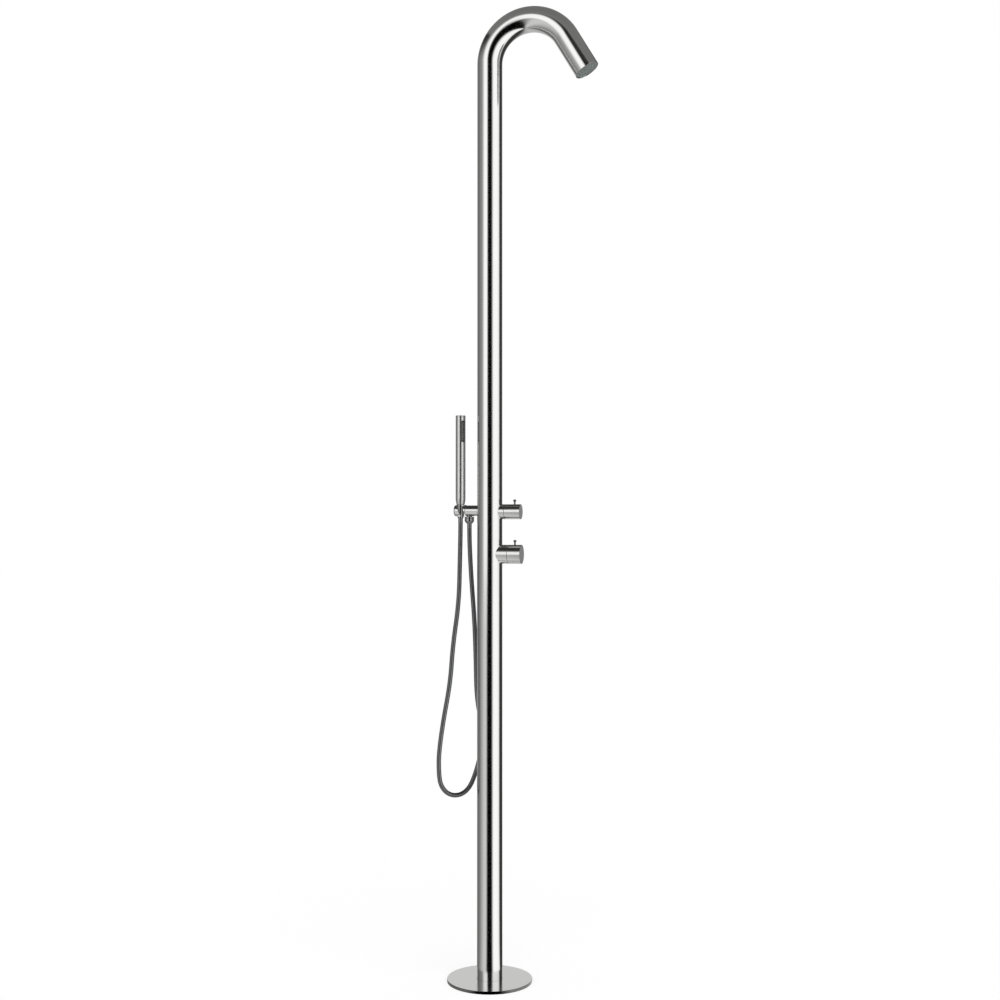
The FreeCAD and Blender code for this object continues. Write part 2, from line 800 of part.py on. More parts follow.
    pin_foot = inside - seat_gap
    pin_top = knob + pin_height
    pin_neck = pin_neck_diameter / 2
    pin_head = pin_head_diameter / 2
    head_start = pin_top - pin_head_height
    corners = [
        (0, pin_foot),
        (pin_neck, pin_foot),
        (pin_neck, head_start),
        (pin_head, head_start + pin_head_taper),
        (pin_head, pin_top - pin_head_crown),
        (pin_neck, pin_top),
        (0, pin_top),
    ]
    pin = new_body(f"{valve}_pin", x=pin_x, z=height)
    spin(pin, corners, "V")

    screw = new_body(f"{valve}_grub_screw", x=pin_x, z=height)
    screw_top = -spindle - press_gap
    screw_foot = -hub + grub_screw_socket / 2
    corners = [
        (0, screw_foot),
        (grub_screw_diameter / 2, screw_foot),
        (grub_screw_diameter / 2, screw_top),
        (0, screw_top),
    ]
    spin(screw, corners, "V")
    key = hexagon(grub_screw_socket)
    cut(screw, "XY", lambda sketch: draw_outline(sketch, key), grub_screw_socket, screw_foot)


def make_link_pipe():
    """Short pipe from the mixer up to the diverter."""
    outer = riser_pipe_diameter / 2
    low = mixer_height + boss_reach - pipe_seat
    high = diverter_height - boss_reach + pipe_seat
    ring("link_pipe", outer - riser_pipe_wall, outer, low, high)


# ---- Holder arm ----


def make_outlet_pipe():
    """Level pipe from the back of the diverter into the holder arm."""
    outer = supply_pipe_diameter / 2
    low = -(post_radius + socket_depth)
    high = -(body_back_reach - pipe_seat)
    ring("outlet_pipe", outer - supply_pipe_wall, outer, low, high, axis="H", z=arm_height)


def arm_nut_place():
    """Low and high X of the nut inside the post, whose corners just clear the post's bore."""
    corner = arm_nut_flats / 2 / cosine(as_size(30))
    low = seat_gap - root(post_bore_radius * post_bore_radius - corner * corner)
    return low, low + arm_nut_thickness


def make_holder_arm():
    """Level arm with a water channel that turns down to the hose, held by a nut inside the post."""
    radius = arm_diameter / 2
    body = new_body("holder_arm", z=arm_height)
    arm_end = -(holder_reach - head_length / 2)
    stud_end = arm_end - head_stud_length
    stud = head_stud_diameter / 2
    corners = [
        (stud_end, 0),
        (stud_end, stud),
        (arm_end, stud),
        (arm_end, radius),
        (0, radius),
        (0, 0),
    ]
    spin(body, corners, "H")
    cut_both_ways(body, "XY", round_hole(0, 0, post_radius + press_gap), arm_diameter * 2)
    spigot_start = -(post_radius + arm_spigot_root)
    spigot_end = arm_nut_place()[1] + seat_gap
    spigot = round_hole(0, 0, arm_spigot_diameter / 2)
    block(body, "YZ", spigot, spigot_end - spigot_start, spigot_start)
    pipe_end = -(post_radius + socket_depth)
    cut(body, "YZ", round_hole(0, 0, supply_pipe_diameter / 2 + press_gap), post_radius, pipe_end)
    channel = arm_channel / 2
    channel_end = -(outlet_reach + channel)
    cut(body, "YZ", round_hole(0, 0, channel), outlet_reach, channel_end)
    nipple_bore = round_hole(-outlet_reach, 0, nipple_diameter / 2 + press_gap)
    cut(body, "XY", nipple_bore, arm_diameter, -nipple_socket, towards_positive=False)
    cut(body, "XY", round_hole(-outlet_reach, 0, channel), arm_diameter, towards_positive=False)


def make_arm_nut():
    """Nut on the arm's spigot, inside the post."""
    low, high = arm_nut_place()
    bore = arm_spigot_diameter / 2 + press_gap
    nut("arm_nut", bore, arm_nut_flats, low, high, axis="H", z=arm_height)


def make_holder_head():
    """Level round head at the arm's end, with an upright seat and a slanted slot for the hose."""
    radius = head_diameter / 2
    body = new_body("holder_head", x=-holder_reach, z=arm_height)
    half = head_length / 2
    corners = [
        (-half, 0),
        (-half, radius - head_edge_radius),
        (-half + head_edge_step, radius - head_edge_step),
        (-half + head_edge_radius, radius),
        (half - head_face_chamfer, radius),
        (half, radius - head_face_chamfer),
        (half, head_stud_diameter / 2 + press_gap),
        (half - head_stud_length - seat_gap, head_stud_diameter / 2 + press_gap),
        (half - head_stud_length - seat_gap, 0),
    ]
    spin(body, corners, "H")
    bore_sketch = new_sketch(body, "XZ")
    draw_outline(bore_sketch, seat_outline(liner_wall + press_gap, radius + overcut))
    bore = body.newObject("PartDesign::Groove", "holder_head_bore")
    bore.Profile = bore_sketch
    bore.ReferenceAxis = (bore_sketch, ["V_Axis"])
    bore.Angle = 360
    cut_slot(body)


def seat_outline(extra, reach):
    """Outline of the upright seat cone from its foot to its top, grown by a wall and a gap."""
    slope = (seat_top_diameter - seat_foot_diameter) / 2 / head_diameter
    top = seat_top_diameter / 2 + extra + slope * (reach - head_diameter / 2)
    foot = seat_foot_diameter / 2 + extra - slope * (reach - head_diameter / 2)
    return [(0, -reach), (foot, -reach), (top, reach), (0, reach)]


def cut_slot(body):
    """Slanted slot in the front wall, wide enough for the hose."""
    reach = head_diameter
    lean = reach * sine(slot_slant) / cosine(slot_slant)
    half = slot_width / 2 / cosine(slot_slant)
    corners = [
        (slot_shift + lean - half, -reach),
        (slot_shift + lean + half, -reach),
        (slot_shift - lean + half, reach),
        (slot_shift - lean - half, reach),
    ]
    sketch = new_sketch(body, "XZ")
    draw_outline(sketch, corners)
    pocket = body.newObject("PartDesign::Pocket", f"{body.Name}_slot")
    pocket.Profile = sketch
    pocket.Reversed = True
    bind(pocket, Length=head_diameter)


def make_seat_liner():
    """Plastic liner of the seat, with the same slot."""
    body = new_body("seat_liner", x=-holder_reach, z=arm_height)
    reach = head_diameter / 2
    slope = (seat_top_diameter - seat_foot_diameter) / 2
    inner = seat_foot_diameter / 2
    corners = [
        (inner, -reach),
        (inner + liner_wall, -reach),
        (inner + slope + liner_wall, reach),
        (inner + slope, reach),
    ]
    spin(body, corners, "V")
    cut_slot(body)


def make_outlet_nipple():
    """Threaded nipple under the arm that the hose nut screws onto."""
    radius = nipple_diameter / 2
    low = -nipple_socket - nipple_length
    place = {"x": -outlet_reach, "z": arm_height}
    ring("outlet_nipple", arm_channel / 2, radius, low, -nipple_socket, **place)


# ---- Hose ----

# Share of the shorter run beside each corner of the route that its arc takes up.
ARC_SHARE = 0.45

# Route of the hose's centre line, from the hand shower's cone to the nut under the arm.
# The first and last points take their place from the pieces that they meet.
HOSE_ROUTE = [
    (-72, 0, 1053),
    (-73, -2, 988),
    (-74, -6, 889),
    (-87, -13, 787),
    (-91, -20, 700),
    (-106, -28, 610),
    (-115, -35, 532),
    (-116, -30, 485),
    (-113, -26, 457),
    (-98, -16, 435),
    (-75, 0, 430),
    (-55, 15, 445),
    (-42, 24, 479),
    (-31, 30, 524),
    (-27, 32, 590),
    (-41, 31, 657),
    (-42, 28, 746),
    (-43, 20, 844),
    (-48, 10, 942),
    (-50, 4, 1010),
    (-50, 0, 1048),
]


def make_shower_hose():
    """The hose as a plain tube: straight runs joined by tangent arcs."""
    start = FreeCAD.Vector(-holder_reach.value, 0, cone_foot_height().value)
    end = FreeCAD.Vector(-outlet_reach.value, 0, hose_nut_foot().value)
    points = [start] + [FreeCAD.Vector(*point) for point in HOSE_ROUTE] + [end]
    edges = []
    radii = []
    last = points[0]
    for before, corner, after in zip(points, points[1:], points[2:]):
        back = (before - corner).normalize()
        onward = (after - corner).normalize()
        turn = math.pi - back.getAngle(onward)
        shorter = min((before - corner).Length, (after - corner).Length)
        tangent = ARC_SHARE * shorter
        radius = tangent / math.tan(turn / 2)
        radii.append(radius)
        bisector = (back + onward).normalize()
        entry = corner + back * tangent
        leaving = corner + onward * tangent
        middle = corner + bisector * (math.hypot(radius, tangent) - radius)
        edges.append(Part.LineSegment(last, entry).toShape())
        edges.append(Part.Arc(entry, middle, leaving).toShape())
        last = leaving
    edges.append(Part.LineSegment(last, points[-1]).toShape())
    path = Part.Wire(edges)
    radius = hose_diameter.value / 2
    direction = (points[1] - points[0]).normalize()
    section = Part.Wire(Part.makeCircle(radius, points[0], direction))
    hose = path.makePipeShell([section], True, False)
    feature = document.addObject("Part::Feature", "shower_hose")
    feature.Label = "shower_hose"
    feature.Shape = hose
    expected = math.pi * radius**2 * path.Length
    print("hose arc radii", [round(value) for value in radii])
    print("hose length", round(path.Length, 1), "volume share", round(hose.Volume / expected, 5))


def cone_foot_height():
    """Height of the hose cone's lower end."""
    return hand_foot_height() - cone_length


def hand_foot_height():
    """Height of the hand shower's lower end, a gap above the holder head's top."""
    return arm_height + head_diameter / 2 + hand_seat_gap


def hose_nut_foot():
    """Height of the lower end of the nut under the arm."""
    return arm_height - arm_diameter / 2 - hose_nut_drop - hose_nut_length


def make_hose_nut():
    """Round nut that joins the hose to the nipple under the arm."""
    foot = hose_nut_foot()
    outer = hose_nut_diameter / 2
    top = foot + hose_nut_length
    bore = nipple_diameter / 2 + press_gap
    seat = arm_height - nipple_socket - nipple_length - seal_ring_thickness
    body = new_body("hose_nut", x=-outlet_reach)
    throat = arm_channel / 2
    corners = [
        (throat, seat),
        (bore, seat),
        (bore, top),
        (outer - hose_nut_chamfer, top),
        (outer, top - hose_nut_chamfer),
        (outer, foot + hose_nut_taper),
        (hose_diameter / 2 + hose_nut_wall, foot),
        (throat, foot),
    ]
    spin(body, corners, "V")


def make_hose_washer():
    """Flat washer between the nipple and the hose nut."""
    high = arm_height - nipple_socket - nipple_length
    low = high - seal_ring_thickness
    ring("hose_washer", arm_channel / 2, nipple_diameter / 2, low, high, x=-outlet_reach)


def make_hose_cone():
    """Conical nut at the hand shower's end of the hose; it hangs in the seat."""
    foot = cone_foot_height()
    top = foot + cone_length
    slope = (seat_top_diameter - seat_foot_diameter) / 2 / head_diameter
    high = seat_top_diameter / 2 - seat_gap + slope * hand_seat_gap
    low = high - slope * cone_length
    channel = arm_channel / 2
    collar = top - cone_collar_depth
    bore = cone_bore / 2
    body = new_body("hose_cone", x=-holder_reach)
    corners = [
        (channel, foot),
        (low - cone_foot_chamfer, foot),
        (low, foot + cone_foot_chamfer),
        (high, top),
        (bore, top),
        (bore, collar),
        (channel, collar),
    ]
    spin(body, corners, "V")


def make_cone_stem():
    """Threaded stem of the hose that turns in the hand shower's foot."""
    foot = cone_foot_height()
    top = foot + cone_length
    low = top - cone_collar_depth
    high = top + hand_thread_depth - seat_gap - seal_ring_thickness
    ring("hose_stem", arm_channel / 2, cone_bore / 2 - turning_gap, low, high, x=-holder_reach)


# ---- Hand shower ----


def make_hand_shower():
    """Baton-shaped hand shower: body, top cap, spray plate, nozzles, flow ring and washer."""
    foot = hand_foot_height()
    top = foot + hand_length
    outer = hand_diameter / 2
    inner = outer - hand_wall
    stem = cone_bore / 2
    place = {"x": -holder_reach, "turn": spray_face_turn}

    body = new_body("hand_shower_body", **place)
    thread_top = foot + hand_thread_depth
    corners = [
        (stem, foot),
        (hand_foot_diameter / 2 - hand_foot_chamfer, foot),
        (hand_foot_diameter / 2, foot + hand_foot_chamfer),
        (outer, foot + hand_taper_length),
        (outer, top - cap_thickness),
        (inner, top - cap_thickness),
        (inner, thread_top + hand_wall),
        (stem, thread_top + hand_wall / 2),
    ]
    spin(body, corners, "V")
    face_top = top - spray_face_drop
    cut(body, "YZ", stadium(face_top, 0), outer * 2)

    cap = new_body("hand_shower_cap", **place)
    corners = [
        (0, top - cap_thickness * 2),
        (inner - press_gap, top - cap_thickness * 2),
        (inner - press_gap, top - cap_thickness),
        (outer, top - cap_thickness),
        (outer, top - cap_chamfer),
        (outer - cap_chamfer, top),
        (0, top),
    ]
    spin(cap, corners, "V")

    plate = new_body("hand_spray_plate", **place)
    face = outer - spray_plate_recess
    block(plate, "YZ", stadium(face_top, press_gap), spray_face_depth, face - spray_face_depth)
    for y, z in hand_nozzle_places(face_top):
        hole = round_hole(y, z, hand_nozzle_diameter / 2)
        cut(plate, "YZ", hole, spray_face_depth + overcut * 2, face - spray_face_depth - overcut)

    nozzles = []
    length = spray_face_depth + hand_nozzle_proud
    for number, (y, z) in enumerate(hand_nozzle_places(face_top)):
        nozzle = document.addObject("Part::Cylinder", f"hand_nozzle_{number}")
        nozzle.Placement.Rotation = FreeCAD.Rotation(FreeCAD.Vector(0, 1, 0), 90)
        bind(nozzle, Radius=hand_nozzle_diameter / 2, Height=length)
        bind(nozzle, Placement__Base__x=face - spray_face_depth)
        bind(nozzle, Placement__Base__y=y, Placement__Base__z=z)
        nozzles.append(nozzle)
    group = document.addObject("Part::Compound", "hand_spray_nozzles")
    group.Label = "hand_spray_nozzles"
    group.Links = nozzles
    group.Placement.Rotation = FreeCAD.Rotation(FreeCAD.Vector(0, 0, 1), spray_face_turn.value)
    bind(group, Placement__Rotation__Angle=spray_face_turn)
    bind(group, Placement__Base__x=-holder_reach)

    washer_high = thread_top
    washer_low = washer_high - seal_ring_thickness
    channel = arm_channel / 2
    ring("hand_washer", channel, stem - press_gap, washer_low, washer_high, x=-holder_reach)
    flow_low = thread_top + hand_wall
    flow_high = flow_low + socket_depth
    ring("flow_limiter", channel / 2, inner - press_gap, flow_low, flow_high, x=-holder_reach)


def stadium(face_top, gap):
    """Drawing function of the spray face: an upright oblong with round ends."""

    def draw(sketch):
        half = spray_face_width / 2 - gap
        high = face_top - spray_face_width / 2
        low = face_top - spray_face_length + spray_face_width / 2
        arcs = []
        for centre_height, start, end in ((high, 0, math.pi), (low, math.pi, 2 * math.pi)):
            centre = FreeCAD.Vector(0, centre_height.value, 0)
            circle = Part.Circle(centre, FreeCAD.Vector(0, 0, 1), half.value)
            arc = sketch.addGeometry(Part.ArcOfCircle(circle, start, end), False)
            hold(sketch, arc, 3, (0, centre_height))
            hold(sketch, arc, 1, (half if start == 0 else -half, centre_height))
            sketch.addConstraint(Sketcher.Constraint("Horizontal", arc, 1, arc, 2))
            arcs.append(arc)
        for top_point, low_point, side in ((1, 2, 1), (2, 1, -1)):
            upper = FreeCAD.Vector(side * half.value, high.value, 0)
            lower = FreeCAD.Vector(side * half.value, low.value, 0)
            line = sketch.addGeometry(Part.LineSegment(upper, lower), False)
            sketch.addConstraint(Sketcher.Constraint("Coincident", line, 1, arcs[0], top_point))
            sketch.addConstraint(Sketcher.Constraint("Coincident", line, 2, arcs[1], low_point))

    return draw


def hand_nozzle_places(face_top):
    """Nozzle centres of the hand shower: two upright rows."""
    pitch = (spray_face_length - spray_face_width) / (HAND_NOZZLE_ROWS - 1)
    places = []
    for row in range(HAND_NOZZLE_ROWS):
        z = face_top - spray_face_width / 2 - pitch * row
        for side in (-1, 1):
            places.append((hand_nozzle_row_offset * side, z))
    return places


make_anchor_flange()
make_base_cover()
make_cover_gasket()
make_post_tube()
make_spray_insert()
make_spray_nozzles()
make_spray_seal()
make_retaining_ring()
make_outlet_adapter()
make_riser_pipe()
make_supply("hot", 1)
make_supply("cold", -1)
make_valve("mixer", mixer_height)
make_valve("diverter", diverter_height)
make_link_pipe()
make_outlet_pipe()
make_holder_arm()
make_arm_nut()
make_holder_head()
make_seat_liner()
make_outlet_nipple()
make_hose_nut()
make_hose_washer()
make_hose_cone()
make_cone_stem()
make_hand_shower()
make_shower_hose()

document.recompute()

for thing in document.Objects:
    if "Invalid" in thing.State or "Error" in thing.State:
        raise RuntimeError(f"{thing.Label} failed: {thing.State}")

PIECE_TYPES = ("PartDesign::Body", "Part::Compound", "Part::Feature")
pieces = [thing for thing in document.Objects if thing.TypeId in PIECE_TYPES]
for piece in pieces:
    if piece.Shape.isNull() or not piece.Shape.isValid():
        raise RuntimeError(f"{piece.Label} has no valid shape")

os.makedirs("parts", exist_ok=True)
for piece in pieces:
    piece.Shape.exportStep(f"parts/{piece.Label}.step")
    solids = len(piece.Shape.Solids)
    print(piece.Label, "solids", solids, "volume", round(piece.Shape.Volume, 1))
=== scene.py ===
import json
import math

import bpy
import bmesh
import numpy as np
from bpy.props import FloatProperty, FloatVectorProperty, IntProperty, PointerProperty
from bpy.types import Operator, Panel, PropertyGroup
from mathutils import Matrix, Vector


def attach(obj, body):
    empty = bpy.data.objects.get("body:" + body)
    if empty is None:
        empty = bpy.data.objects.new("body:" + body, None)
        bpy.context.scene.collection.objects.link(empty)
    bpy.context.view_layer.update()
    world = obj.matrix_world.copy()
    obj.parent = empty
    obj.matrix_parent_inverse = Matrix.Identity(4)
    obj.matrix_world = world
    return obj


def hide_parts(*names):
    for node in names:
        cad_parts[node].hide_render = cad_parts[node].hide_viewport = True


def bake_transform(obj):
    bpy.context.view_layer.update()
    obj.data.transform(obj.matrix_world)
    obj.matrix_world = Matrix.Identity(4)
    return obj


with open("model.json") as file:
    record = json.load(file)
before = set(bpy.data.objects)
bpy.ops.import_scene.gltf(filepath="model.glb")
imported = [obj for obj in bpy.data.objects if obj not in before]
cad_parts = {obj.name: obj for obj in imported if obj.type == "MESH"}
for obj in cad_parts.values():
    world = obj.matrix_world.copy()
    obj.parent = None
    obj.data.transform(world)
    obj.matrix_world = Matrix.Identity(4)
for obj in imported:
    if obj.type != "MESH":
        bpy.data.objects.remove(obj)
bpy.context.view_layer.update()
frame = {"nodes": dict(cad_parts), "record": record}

bl_info = {
    "name": "Outdoor shower post",
    "version": (1, 0, 0),
    "blender": (4, 5, 0),
    "location": "View3D > Sidebar > Shower post",
    "description": "Dresses the outdoor shower post: steel tube, knobs, holder, hand shower, hose and foot",
    "category": "Object",
}

# Route of the hose from the cone in the holder to the nut under the arm, in metres.
HOSE_ROUTE = [
    (-0.072, 0, 1.08775),
    (-0.072, 0, 1.053),
    (-0.073, -0.002, 0.988),
    (-0.074, -0.006, 0.889),
    (-0.087, -0.013, 0.787),
    (-0.091, -0.020, 0.700),
    (-0.106, -0.028, 0.610),
    (-0.115, -0.035, 0.532),
    (-0.116, -0.030, 0.485),
    (-0.113, -0.026, 0.457),
    (-0.098, -0.016, 0.435),
    (-0.075, 0, 0.430),
    (-0.055, 0.015, 0.445),
    (-0.042, 0.024, 0.479),
    (-0.031, 0.030, 0.524),
    (-0.027, 0.032, 0.590),
    (-0.041, 0.031, 0.657),
    (-0.042, 0.028, 0.746),
    (-0.043, 0.020, 0.844),
    (-0.048, 0.010, 0.942),
    (-0.050, 0.004, 1.010),
    (-0.050, 0, 1.048),
    (-0.050, 0, 1.07525),
]


# ---- Sizes and colours that a user would change ----


def length(name, description, default):
    """A property for a length in metres."""
    limits = {"min": 0.0, "precision": 5, "unit": "LENGTH"}
    return FloatProperty(name=name, description=description, default=default, **limits)


def colour(name, description, default):
    """A property for a colour."""
    limits = {"size": 3, "min": 0.0, "max": 1.0, "subtype": "COLOR"}
    return FloatVectorProperty(name=name, description=description, default=default, **limits)


def angle(name, description, degrees):
    """A property for an angle, given in degrees."""
    return FloatProperty(name=name, description=description, default=math.radians(degrees), subtype="ANGLE")


def strength(name, description, default):
    """A property for the strength of a light."""
    return FloatProperty(name=name, description=description, default=default, min=0.0)


class PostSizes(PropertyGroup):
    """Sizes of the bent tube, its spray outlet and its foot."""

    diameter: length("Tube diameter", "Outside diameter of the post's tube", 0.060)
    wall: length("Tube wall", "Wall of the post's tube", 0.002)
    foot: length("Foot height", "Height at which the tube stands on its flange", 0.005)
    bend_start: length("Bend start", "Height at which the tube starts to bend", 2.163)
    bend_radius: length("Bend radius", "Radius of the bend's centre line", 0.100)
    bend_angle: angle("Bend angle", "Turn of the bend", 149)
    neck: length("Neck", "Straight length after the bend", 0.0965)
    insert_recess: length("Spray face recess", "Depth of the spray face in the neck's end", 0.002)
    insert_thickness: length("Spray face thickness", "Thickness of the disc with the nozzles", 0.005)
    nozzle_diameter: length("Nozzle diameter", "Diameter of one rubber nozzle", 0.0026)
    nozzle_spacing: length("Nozzle spacing", "Distance between the rings of nozzles", 0.007)
    cover_diameter: length("Cover diameter", "Diameter of the round cover at the foot", 0.200)
    cover_height: length("Cover height", "Height of the cover's top", 0.007)
    cover_wall: length("Cover wall", "Sheet thickness of the cover", 0.0015)
    sides: IntProperty(name="Sides", description="Faces around the tube", default=128, min=24, max=512)


class ValveSizes(PropertyGroup):
    """Sizes of the two knobs and their collars."""

    mixer_height: length("Mixer height", "Height of the lower knob's axis", 1.003)
    mixer_diameter: length("Mixer diameter", "Diameter of the lower knob", 0.045)
    mixer_collar_end: length("Mixer collar end", "Distance of the lower collar's end from the axis", 0.0465)
    mixer_end: length("Mixer end", "Distance of the lower knob's face from the post's axis", 0.078)
    mixer_pin: length("Mixer pin place", "Distance of the lower pin from the post's axis", 0.0615)
    diverter_height: length("Diverter height", "Height of the upper knob's axis", 1.103)
    diverter_diameter: length("Diverter diameter", "Diameter of the upper knob", 0.0356)
    diverter_collar_end: length(
        "Diverter collar end", "Distance of the upper collar's end from the axis", 0.038
    )
    diverter_end: length("Diverter end", "Distance of the upper knob's face from the post's axis", 0.076)
    diverter_pin: length("Diverter pin place", "Distance of the upper pin from the post's axis", 0.061)
    pin_height: length("Pin height", "Height of a pin above its knob", 0.011)
    edge: length("Knob edge", "Rounding of the knobs' edges", 0.0006)


class HolderSizes(PropertyGroup):
    """Sizes of the arm, its head, the hose and the hand shower."""

    arm_height: length("Arm height", "Height of the level arm's axis", 1.1055)
    arm_diameter: length("Arm diameter", "Diameter of the level arm", 0.0255)
    head_diameter: length("Head diameter", "Diameter of the holder's head", 0.0275)
    head_length: length("Head length", "Length of the holder's head", 0.029)
    reach: length("Reach", "Distance of the hand shower's axis from the post's axis", 0.072)
    outlet_reach: length("Outlet reach", "Distance of the hose nut's axis from the post's axis", 0.050)
    hose_diameter: length("Hose diameter", "Outside diameter of the hose", 0.011)
    hose_pitch: length("Hose pitch", "Distance between two turns of the hose's spiral", 0.0026)
    hand_foot: length("Hand shower foot", "Height of the hand shower's lower end", 1.12075)
    hand_length: length("Hand shower length", "Length of the hand shower", 0.211)
    hand_diameter: length("Hand shower diameter", "Diameter of the hand shower", 0.0235)
    face_length: length("Spray face length", "Length of the hand shower's spray face", 0.052)
    face_width: length("Spray face width", "Width of the hand shower's spray face", 0.013)
    face_turn: angle("Spray face turn", "Turn of the spray face about Z", -40)


class Finishes(PropertyGroup):
    """Colours of the finishes that show."""

    steel: colour("Steel", "Satin stainless steel of the post, arm and knobs", (0.80, 0.80, 0.79))
    cover: colour("Cover steel", "Brushed stainless steel of the cover at the foot", (0.76, 0.76, 0.75))
    hose: colour("Hose", "Dark steel of the hose's spiral", (0.30, 0.30, 0.31))
    pin: colour("Pins", "Dark steel of the two pins", (0.22, 0.22, 0.22))
    dark_metal: colour("Dark metal", "Metal of the hose's nut and cone", (0.42, 0.42, 0.42))
    spray: colour("Spray face", "Plastic of the spray face in the neck", (0.21, 0.24, 0.23))
    nozzle: colour("Nozzle", "Rubber of the nozzles in the neck", (0.17, 0.19, 0.185))
    hand: colour("Hand shower", "Satin steel of the hand shower", (0.78, 0.78, 0.77))
    hand_face: colour("Hand spray face", "Plastic of the hand shower's spray face", (0.06, 0.06, 0.06))
    hand_nozzle: colour("Hand nozzle", "Rubber of the hand shower's nozzles", (0.42, 0.42, 0.41))
    liner: colour("Liner", "Plastic of the holder's liner", (0.72, 0.72, 0.71))


class StageSettings(PropertyGroup):
    """Camera and light."""

    camera_place: FloatVectorProperty(
        name="Camera place",
        description="Place of the camera",
        default=(0.90594, -3.26671, 1.0817),
        unit="LENGTH",
    )
    camera_aim: FloatVectorProperty(
        name="Camera aim",
        description="Direction of the view",
        default=(-0.26031, 0.96542, 0.014486),
        subtype="DIRECTION",
    )
    lens: FloatProperty(name="Lens", description="Focal length in millimetres", default=51.64)
    soft_light: strength("Soft light", "Light from all sides on matt surfaces", 0.72)
    sun: strength("Lamp", "Strength of the wide lamp above", 1.1)
    soft_lamp: strength("Soft lamp", "Power of the soft lamp over the bend in watts", 0.32)
    panel_light: strength("Panels", "Brightness of the panels that metal reflects", 1.2)


# Seat of the holder: its diameters at the head's top and foot.
SEAT_TOP = 0.0192
SEAT_FOOT = 0.0156
# Room between two pieces that meet.
ROOM = 0.00005


# ---- Surfaces worked out with numpy ----


def straight(origin, direction):
    """A straight carrying line: centre = origin + along x direction, with two normals across it."""
    origin = np.array(origin, float)
    direction = np.array(direction, float)
    direction /= np.linalg.norm(direction)
    side = np.array((0.0, 1.0, 0.0)) if abs(direction[1]) < 0.9 else np.array((1.0, 0.0, 0.0))
    side -= direction * side.dot(direction)
    side /= np.linalg.norm(side)
    other = np.cross(direction, side)

    def line(along):
        centre = origin + along[..., None] * direction
        return centre, np.broadcast_to(side, centre.shape), np.broadcast_to(other, centre.shape)

    return line


def upright(x, height=0):
    """An upright carrying line at a place on X, from a height."""
    return straight((x, 0, height), (0, 0, 1))


def bent_line(start, radius, angle):
    """The post's centre line by arc length: upright, round the bend, then straight down the neck.

    In the bend the turn is a = (along - start) / radius, x = radius (1 - cos a), z = start + radius sin a.
    """

    def line(along):
        turn = np.clip((along - start) / radius, 0, angle)
        before = np.minimum(along, start)
        after = np.maximum(along - start - radius * angle, 0)
        x = radius * (1 - np.cos(turn)) + after * np.sin(turn)
        z = before + radius * np.sin(turn) + after * np.cos(turn)
        zero = np.zeros_like(x)
        centre = np.stack([x, zero, z], -1)
        outward = np.stack([np.cos(turn), zero, -np.sin(turn)], -1)
        across = np.stack([zero, zero + 1, zero], -1)
        return centre, outward, across

    return line


def around(count):
    """Even angles round a circle."""
    return np.linspace(0, 2 * np.pi, count, endpoint=False)


def saddle(post, radius, end, t):
    """Seven rows that start on the post, along = sqrt(post^2 - (radius cos t)^2), and go towards an end."""
    start = np.sqrt(post**2 - (radius * np.cos(t)) ** 2)
    return start + (end - start) * np.linspace(0, 1, 8)[:-1, None]


def turned(along, radius, line, sides=96):
    """Surface of a profile turned about a carrying line.

    point = centre(along) + radius (cos t x first normal + sin t x second normal), for t around the line.
    along and radius are columns of the profile, or grids that also change with t.
    """
    t = around(sides)[None, :]
    along = np.atleast_2d(np.asarray(along, float)) + 0 * t
    radius = np.atleast_2d(np.asarray(radius, float)) + 0 * t
    centre, first, second = line(along)
    return centre + radius[..., None] * (np.cos(t)[..., None] * first + np.sin(t)[..., None] * second)


def rounded(corners, steps=4, closed=False):
    """A profile whose corners (along, radius, rounding) become small curves.

    A corner b becomes the curve (1-u)^2 a + 2u(1-u) b + u^2 c between two points a and c on its sides,
    with a support point before and after it.
    """
    data = np.array(corners, float)
    points, size = data[:, :2], data[:, 2]
    back = np.roll(points, 1, 0) - points
    onward = np.roll(points, -1, 0) - points
    back_length = np.linalg.norm(back, axis=1) + 1e-12
    onward_length = np.linalg.norm(onward, axis=1) + 1e-12
    limit = 0.3 * np.minimum(back_length, onward_length)
    size = np.minimum(size, limit)
    if not closed:
        size[[0, -1]] = 0
    back_unit = back / back_length[:, None]
    onward_unit = onward / onward_length[:, None]
    a = points + back_unit * size[:, None]
    c = points + onward_unit * size[:, None]
    u = np.linspace(0, 1, steps + 1)[None, :, None]
    curve = (1 - u) ** 2 * a[:, None] + 2 * u * (1 - u) * points[:, None] + u**2 * c[:, None]
    first = (a + back_unit * size[:, None])[:, None]
    last = (c + onward_unit * size[:, None])[:, None]
    path = np.concatenate([first, curve, last], 1).reshape(-1, 2)
    keep = np.linalg.norm(path - np.roll(path, 1, 0), axis=1) > 1e-8
    keep[0] = True
    path = path[keep]
    return path[:, :1], path[:, 1:]


def grid_faces(rows, columns, closed_rows, offset=0):
    """Corner numbers of a grid's faces: closed around its columns, and around its rows if asked."""
    i = np.arange(rows if closed_rows else rows - 1)[:, None]
    j = np.arange(columns)[None, :]
    below, above = i * columns, (i + 1) % rows * columns
    right = (j + 1) % columns
    faces = np.stack([below + j, below + right, above + right, above + j], -1)
    return faces.reshape(-1, 4) + offset


def rework(mesh, change):
    """Changes a mesh by an operation of bmesh."""
    work = bmesh.new()
    work.from_mesh(mesh)
    change(work)
    work.to_mesh(mesh)
    work.free()


